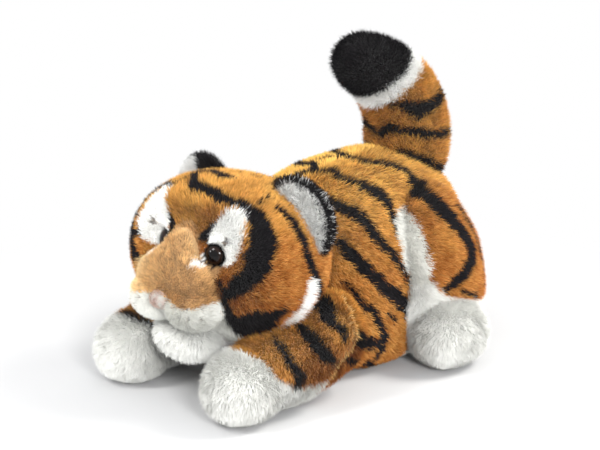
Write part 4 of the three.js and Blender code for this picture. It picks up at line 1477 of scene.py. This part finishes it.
# %% [markdown]
# ## Light and dark strands
#
# On real plush no two strands reflect alike: whole tufts are lighter or darker, some tips
# catch the light, and black ones shine a little. One flat colour looks like plastic, so each
# strand gets a tone of its own from its tuft and from chance, a painted glint on some golden
# strands and a painted grey sheen on a few black ones.

# %% Tones of the strands
GLINT, PAINTED_GREY_SHEEN = screen(250, 206, 124), screen(38, 35, 37)
PALE_ROOT = 0.16


def tone(shade, seen):
    """Each strand's colour from root to tip, with painted shade at the root, painted glints and
    sheen.
    """
    pale, deep = is_pale(shade), shade.sum(1) < BLACK_TO
    golden = ~pale & ~deep
    tuft = np.clip((noise(seen, 1.5) - 0.5) * 1.8 + 0.5, 0, 1)
    shade[golden] *= (0.58 + 0.56 * tuft[golden] + 0.3 * random.random(golden.sum()))[:, None]
    # Painted glint: some golden strands are mixed towards a light gold.
    glint = 0.42 * (tuft[golden] * random.random(golden.sum()))[:, None]
    shade[golden] += (GLINT - shade[golden]) * glint
    # Painted grey sheen: a few black strands are made a little grey.
    shade[deep] += PAINTED_GREY_SHEEN * (random.random((deep.sum(), 1)) ** 4)
    along = np.repeat(BLADE_SHADE[None], len(shade), 0)
    along[pale] = 1 - (1 - along[pale]) * PALE_ROOT
    return np.clip(shade[:, None] * along[..., None], 0, 0.97).reshape(-1, 3)


print("glint:", GLINT.round(2), "grey hair:", PAINTED_GREY_SHEEN.round(3))

# %% [markdown]
# ## Grow the pile
#
# The tree plants the blades, and every blade is then coloured at the place where it shows,
# part of the way along its lean. The result is one plain mesh, because instances are lost
# when a model is exported. Each blade has a small place of its own in the texture, in order
# of its shade, so that neighbours there are alike.

# %% A mesh of blades
def mesh_of_blades(name, points, colours):
    """A plain mesh of whole blades, with a small place of its own in the texture for each."""
    count = len(points) // len(BLADE)
    mesh = bpy.data.meshes.new(name)
    mesh.vertices.add(len(points))
    mesh.vertices.foreach_set("co", points.astype(np.float32).ravel())
    mesh.loops.add(count * len(BLADE_CORNERS))
    corners = (np.arange(count)[:, None] * len(BLADE) + BLADE_CORNERS).ravel()
    mesh.loops.foreach_set("vertex_index", corners.astype(np.int32))
    mesh.polygons.add(count * len(BLADE_SIZES))
    sizes = np.tile(BLADE_SIZES, count)
    mesh.polygons.foreach_set("loop_start", (np.cumsum(sizes) - sizes).astype(np.int32))
    shade_smooth(mesh)
    mesh.update(calc_edges=True)
    store(mesh, "coat", colour_rows(colours), "FLOAT_COLOR")
    side = math.ceil(math.sqrt(count))
    order = np.empty(count, int)
    order[np.argsort(colours[:: len(BLADE)].sum(1), kind="stable")] = np.arange(count)
    cell = np.stack([order % side, order // side], 1).astype(float)
    place = ((cell[:, None] + BLADE_PLACE[None]).reshape(-1, 2) / side)[corners]
    mesh.uv_layers.new(name="OFBake").data.foreach_set("uv", place.astype(np.float32).ravel())
    mesh.materials.append(PILE)
    return mesh


print("triangles in a blade:", (BLADE_SIZES - 2).sum())


# %% Growing
LEAN_SHARE, WANDER, FLOOR_GAP, LIFT = 0.3, 1.8, 0.0002, 0.004
QUICK_SHARE, QUICK_WIDTH = ((1.0, 1.0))
strand_counts = {}


def grow(skin, name, colour, per_mm2, length, width=0.5, uneven=0.5, tuft=0.6, tuft_size=6.0,
         seed=1, split=False):
    """Grows pile on a marked skin and gives one plain mesh, or one for each hand."""
    grower = skin.modifiers.new("pile", "NODES")
    grower.node_group = PILE_TREE
    wanted = {
        "Strands per square metre": per_mm2 * 1e6 * QUICK_SHARE,
        "Pile length": length * MM,
        "Strand width": width * MM * QUICK_WIDTH,
        "Unevenness": uneven, "Tuft turn": tuft, "Tuft size": tuft_size * MM,
        "Seed": seed, "Blade": blade, "Coat": PILE,
    }
    for item in PILE_TREE.interface.items_tree:
        if item.item_type == "SOCKET" and item.in_out == "INPUT" and item.name in wanted:
            grower[item.identifier] = wanted[item.name]
    grown = finished_mesh(skin)
    points = three_each(grown.vertices, "co")
    roots = three_each(grown.attributes["root"].data, "vector")[:: len(BLADE)]
    ways = three_each(grown.attributes["comb"].data, "vector")[:: len(BLADE)]
    bpy.data.meshes.remove(grown)
    points[:, 2] = np.maximum(points[:, 2], FLOOR_GAP)
    count = strand_counts[name] = len(roots)
    seen = roots / MM + ways * (length * LEAN_SHARE) + (random.random((count, 3)) - 0.5) * WANDER
    # Orange strands whose tips rise are painted lighter through orange_at, as if lit from above.
    rise = points[len(BLADE) - 1 :: len(BLADE), 2] - points[:: len(BLADE), 2]
    colours = tone(colour(seen, np.clip(rise, -LIFT, LIFT) / LIFT), seen)
    left = roots[:, 0] >= 0
    halves = {"_left": left, "_right": ~left} if split else {"": np.ones(count, bool)}
    made = []
    for ending, chosen in halves.items():
        kept = np.repeat(chosen, len(BLADE))
        mesh = mesh_of_blades(name + ending, points[kept], colours[kept])
        made.append(bpy.data.objects.new(name + ending, mesh))
        bpy.context.scene.collection.objects.link(made[-1])
    print(f"{name}: {count} strands")
    return made


fur = {}
print("share of the strands grown:", QUICK_SHARE)

# %% [markdown]
# ## Dress the body
#
# The torso is one padded form. Its pile is split in a left and a right half only to keep
# each mesh light. Where the head, a sleeve or a thigh covers it, nothing grows, and near the
# floor the pile is pressed short.

# %% Where a skin is covered
def under(shape, grow_by):
    return lambda points: inside_form(shape, points, grow_by)


def under_sides(shape, grow_by):
    return lambda points: inside_form(shape, folded(points), grow_by)


def any_of(*tests):
    return lambda points: np.any([test(points) for test in tests], axis=0)


def under_oval(place, halves, share):
    """Covered by an oval on either side, up to a share of its size."""
    return lambda points: distance((folded(points) - place) / halves, (0, 0, 0)) < share


def low_pile(points):
    """Pile that is pressed short where it meets the floor."""
    return np.clip(0.35 + 0.65 * points[:, 2] / 12, 0.35, 1)


under_head = under(HEAD, 1.0)
print("pile at the floor:", low_pile(np.zeros((1, 3))), "of its length")

# %% Torso and neck
torso, neck = skins["torso_skin"], skins["neck_skin"]
mark_skin(torso, torso_comb, torso_colour, any_of(
    lambda p: inside_form(HEAD, p, 2.0) & (p[:, 1] < -12),
    under_sides(SLEEVE, -3.0), under_oval(SHOULDER, 20, 1), under_sides(THIGH, -2.0),
), pile=low_pile)
fur["torso"] = grow(torso, "torso_fur", torso_colour, 2.85, 5.6, width=0.52, seed=11, split=True)
mark_skin(neck, torso_comb, torso_colour, any_of(under(TORSO, 0.8), under_head))
fur["neck"] = grow(neck, "neck_fur", torso_colour, 2.6, 5.0, width=0.42, seed=12)

# %% [markdown]
# ## Dress the head
#
# The pile is short over the muzzle and round the eyes, longer over the cheeks, and longest in
# the white ruffs along the jaw. One length all over would bury the eyes.

# %% Head
MUZZLE = (12, -104, 70)


def head_pile(points):
    side = folded(points)
    length = 1 + 0.5 * np.clip(1.4 - near_lines(side, RUFF), 0, 1)
    length *= np.clip((distance(side, EYE_RIM) - 5) / 16, 0.28, 1)
    return length * np.clip(distance(side, MUZZLE) / 40, 0.45, 1)


def on_eye(points):
    away = folded(points) - EYE
    deep = away @ np.array(EYE_WAY)
    return (np.linalg.norm(away - deep[:, None] * EYE_WAY, axis=1) < 6.2) & (np.abs(deep) < 12)


head = skins["head_skin"]
mark_skin(head, away_from((0, -112, 72), (0, 0.15, -0.12)), face_colour, any_of(
    on_eye, under(BRIDGE, -2.5), under_oval(PAD, PAD_SIZE, 0.86),
    lambda p: inside_form(TORSO, p, -6.0) & (p[:, 1] > -14),
), pile=head_pile)
fur["head"] = grow(head, "head_fur", face_colour, 4.0, 5.6, width=0.42, seed=21, split=True)

# %% [markdown]
# ## Dress the muzzle
#
# The bridge and the whisker pads have short dense pile that lies away from the nose. The
# chin's is longer, and the nose itself is velour, a pile so short that it looks like cloth.

# %% Bridge and chin
bridge, chin = skins["bridge_skin"], skins["chin_skin"]
mark_skin(bridge, away_from((0, -118, 62), (0, 0, 0.25)), face_colour, any_of(
    under(HEAD, 0.2), on_eye, under_oval(PAD, PAD_SIZE, 0.9),
))
fur["bridge"] = grow(bridge, "bridge_fur", face_colour, 6.0, 3.5, width=0.3, uneven=0.55,
                     tuft_size=4, seed=22)
mark_skin(chin, combed((0, 0.2, -1)), chin_colour, any_of(
    under(HEAD, 0.2), under_oval(PAD, PAD_SIZE, 0.97),
))
fur["chin"] = grow(chin, "chin_fur", chin_colour, 4.5, 6.4, width=0.38, seed=23)

# %% Whisker pads and nose
for hand, _ in HANDS:
    pad = skins[f"pad_skin_{hand}"]
    mark_skin(pad, away_from((0, -116, 62), (0, 0.1, -0.15)), face_colour, any_of(
        under(HEAD, 0.2), under(BRIDGE, -0.5), under_oval(NOSE, NOSE_SIZE, 0.95),
    ))
    fur[f"pad_{hand}"] = grow(pad, f"pad_fur_{hand}", face_colour, 6.0, 3.2, width=0.3,
                              tuft_size=4, seed=24)
nose = skins["nose_skin"]
mark_skin(nose, combed((0, 0, 1)), nose_colour, under(BRIDGE, 0.0), material=VELOUR)
fur["nose"] = grow(nose, "nose_fur", nose_colour, 7.0, 1.7, width=0.25, tuft_size=3, seed=25)

# %% [markdown]
# ## Dress the ears
#
# An ear's pile is long inside, where it hides the cloth, short at the rim, where it would
# blur the outline, and middling on the black back.

# %% Ears
def ear_pile(points):
    """Long pile inside the ear, short at its rim, and middling on its black back."""
    _, _, local = ear_place(points)
    rim = np.hypot(local[:, 0], local[:, 2])
    front = np.interp(rim, [0, 12, 20, 22], [1.2, 1.15, 1.05, 0.65])
    back_side = np.interp(rim, [0, 15, 22], [0.7, 0.7, 0.8])
    return np.where(ear_depth(local) > 0.1, back_side, front)


for hand, _ in HANDS:
    ear = skins[f"ear_skin_{hand}"]
    mark_skin(ear, ear_comb, ear_colour, under_head, pile=ear_pile)
    fur[f"ear_{hand}"] = grow(ear, f"ear_fur_{hand}", ear_colour, 7.5, 7.0, width=0.36, seed=31)

# %% [markdown]
# ## Dress the legs
#
# The legs' pile runs down to the paws. It is short in a narrow line along the front leg's
# seam, where the stitches hold it down, and near the floor.

# %% Legs
def front_leg_pile(points):
    return low_pile(points) * np.where(np.abs(behind_seam(points) - 2.5) < 2.4, 0.4, 1)


for hand, _ in HANDS:
    front, hind = skins[f"front_leg_skin_{hand}"], skins[f"hind_leg_skin_{hand}"]
    mark_skin(front, front_leg_comb, front_leg_colour, any_of(under(TORSO, -3.0), under_head),
              pile=front_leg_pile)
    fur[f"front_leg_{hand}"] = grow(front, f"front_leg_fur_{hand}", front_leg_colour, 3.9, 5.4,
                                    width=0.4, uneven=0.4, seed=41)
    mark_skin(hind, hind_leg_comb, hind_leg_colour, under(TORSO, 1.6), pile=low_pile)
    fur[f"hind_leg_{hand}"] = grow(hind, f"hind_leg_fur_{hand}", hind_leg_colour, 4.3, 5.4,
                                   width=0.38, uneven=0.4, seed=42)

# %% [markdown]
# ## Dress the tail
#
# The tail's pile is combed towards its tip and stands out more in tufts than elsewhere, and
# the black tip is bushier still.

# %% Tail
def tail_pile(points):
    return 1 + 0.25 * np.clip(past(points, TIP_FROM, TIP_WAY) / 8, 0, 1)


tail = skins["tail_skin"]
mark_skin(tail, tail_comb, tail_colour, under(TORSO, -2.0), pile=tail_pile)
fur["tail"] = grow(tail, "tail_fur", tail_colour, 4.6, 6.0, width=0.44, uneven=0.75, tuft=0.8,
                   seed=51)
print("strands in all:", sum(strand_counts.values()))

# %% [markdown]
# ## Eyes
#
# A safety eye is one moulding: a dome with a shank behind it. Its plastic shows a black pupil
# in a very dark brown ring. An image could give the ring, but a colour by the distance from
# the eye's axis stays sharp. The gloss is the plastic's own, and it mirrors the small lamp.

# %% Eye plastic
def eye_material():
    material, tree = new_material("eye_plastic")
    shader = add_node(tree, "ShaderNodeBsdfPrincipled", {
        "Base Color": coat_colour(tree), "Roughness": 0.07, "Specular IOR Level": 0.22,
    })
    add_node(tree, "ShaderNodeOutputMaterial", {"Surface": shader.outputs[0]})
    return material


EYE_PLASTIC = eye_material()
PUPIL, IRIS = screen(8, 6, 6), screen(30, 18, 12)
print("pupil:", PUPIL.round(4), "ring:", IRIS.round(4))

# %% Safety eyes
EYE_RADIUS, EYE_HEIGHT, EYE_LIP, AROUND_EYE, DOME_RINGS = 6.0, 4.2, 0.5, 48, 12
EYE_TURN, EYE_LIFT = 24, 8
SHANK = [(0.0, -11), (1.6, -10.6), (2.1, -9.6), (2.1, 0.0), (5.2, 0.0), (5.8, 0.15)]


def eye_rows():
    """Rings of a dome on its shank, from the shank's end to the top of the dome."""
    profile = SHANK + [(EYE_RADIUS, EYE_LIP)]
    for step in range(1, DOME_RINGS + 1):
        angle = math.pi / 2 * step / DOME_RINGS
        profile.append((EYE_RADIUS * math.cos(angle), EYE_LIP + EYE_HEIGHT * math.sin(angle)))
    turn = [2 * math.pi * k / AROUND_EYE for k in range(AROUND_EYE)]
    return np.array([
        [(radius * math.cos(angle), radius * math.sin(angle), high) for angle in turn]
        for radius, high in profile
    ])


eyes = {}
for hand, flip in HANDS:
    aside = Matrix.Rotation(math.radians(EYE_TURN * flip), 3, "Z")
    turn = np.array(aside @ Matrix.Rotation(math.radians(90 - EYE_LIFT), 3, "X"))
    middle = sided(EYE, flip)
    points, faces = closed_rings(eye_rows())
    eye = mesh_object(f"eye_dome_{hand}", points @ turn.T + middle, faces)
    outward(eye)
    axis, placed = turn @ np.array((0, 0, 1.0)), get_points(eye) - middle
    out = np.linalg.norm(placed - (placed @ axis)[:, None] * axis, axis=1)
    ring = (np.clip((out - 2.9) / 0.5, 0, 1) * np.clip((5.3 - out) / 0.6, 0, 1))[:, None]
    store(eye.data, "coat", colour_rows(PUPIL * (1 - ring) + IRIS * ring), "FLOAT_COLOR")
    eye.data.materials.append(EYE_PLASTIC)
    eyes[hand] = eye
print("eye points:", len(eyes["left"].data.vertices))

# %% [markdown]
# ## Washers
#
# Behind the cloth a ring is pressed on each shank. The solids already have its exact shape,
# so it only gets its own material: milky plastic with a faint grain.

# %% Hidden washers
def washer_material():
    material, tree = new_material("washer_plastic")
    where = add_node(tree, "ShaderNodeTexCoord").outputs["Object"]
    grain = add_node(tree, "ShaderNodeTexNoise", {"Scale": 900, "Vector": where})
    tint = add_node(tree, "ShaderNodeValToRGB", {0: grain.outputs["Fac"]})
    tint.color_ramp.elements[0].color = (0.72, 0.71, 0.66, 1)
    tint.color_ramp.elements[1].color = (0.82, 0.81, 0.77, 1)
    shader = add_node(tree, "ShaderNodeBsdfPrincipled", {
        "Base Color": tint.outputs[0], "Roughness": 0.45,
    })
    add_node(tree, "ShaderNodeOutputMaterial", {"Surface": shader.outputs[0]})
    return material


WASHER = washer_material()
for hand, _ in HANDS:
    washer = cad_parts[f"eye_washer_{hand}"]
    washer.data.materials.clear()
    washer.data.materials.append(WASHER)
print("washer faces:", len(washer.data.polygons))

# %% [markdown]
# ## Give each piece its body
#
# Every piece but the tail rides on a body of the CAD model and names the solids that it
# stands for, which are hidden. The tail's skin and pile ride on no body, and their place is
# baked into their points.

# %% Rides and replacements
def settle(obj, body, nodes=()):
    if nodes:
        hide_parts(*nodes)
    if body is not None:
        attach(obj, body)


def dress(name, body, nodes, hand=""):
    """Settles a skin and the pile that grows on it."""
    ending = f"_{hand}" if hand else ""
    settle(skins[f"{name}_skin{ending}"], body, nodes)
    for pile in fur[name + ending]:
        settle(pile, body)


def handed(hand, *stems):
    return tuple(f"{stem}_{hand}" for stem in stems)


bpy.data.objects.remove(blade)
for skin in skins.values():
    for name in ("comb", "cover", "pile"):
        skin.data.attributes.remove(skin.data.attributes[name])
print("working marks removed from", len(skins), "skins")

# %% Body, head and muzzle pieces
dress("torso", "torso",
      ("back_cover", "belly_panel", "torso_fill", "belly_pellet_bag"))
dress("neck", "neck", ("neck_gusset",))
dress("head", "head",
      ("head_cover", "head_fill", "cheek_ruff_left", "cheek_ruff_right"))
dress("bridge", "head", ("muzzle_bridge",))
dress("chin", "head", ("chin_pad",))
dress("nose", "head", ("nose",))
print("strands on the head:", strand_counts["head_fur"])

# %% Pieces of both sides
for hand, _ in HANDS:
    dress("pad", "head", handed(hand, "whisker_pad"), hand)
    settle(eyes[hand], "head", handed(hand, "eye"))
    dress("ear", f"ear_{hand}", handed(hand, "ear_front", "ear_back"), hand)
    dress("front_leg", f"front_leg_{hand}", handed(
        hand, "front_leg_sleeve", "front_leg_underside", "front_paw_cover", "front_leg_fill",
        "front_paw_pellets"), hand)
    dress("hind_leg", f"hind_leg_{hand}", handed(
        hand, "thigh_cover", "inner_thigh_panel", "hind_foot_cover", "thigh_fill",
        "hind_foot_pellets"), hand)

# %% Tail
dress("tail", None,
      ("tail_sleeve", "tail_fill", "tail_ring", "tail_tip", "tail_tip_fill"))
for piece in (skins["tail_skin"], fur["tail"][0]):
    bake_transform(piece)
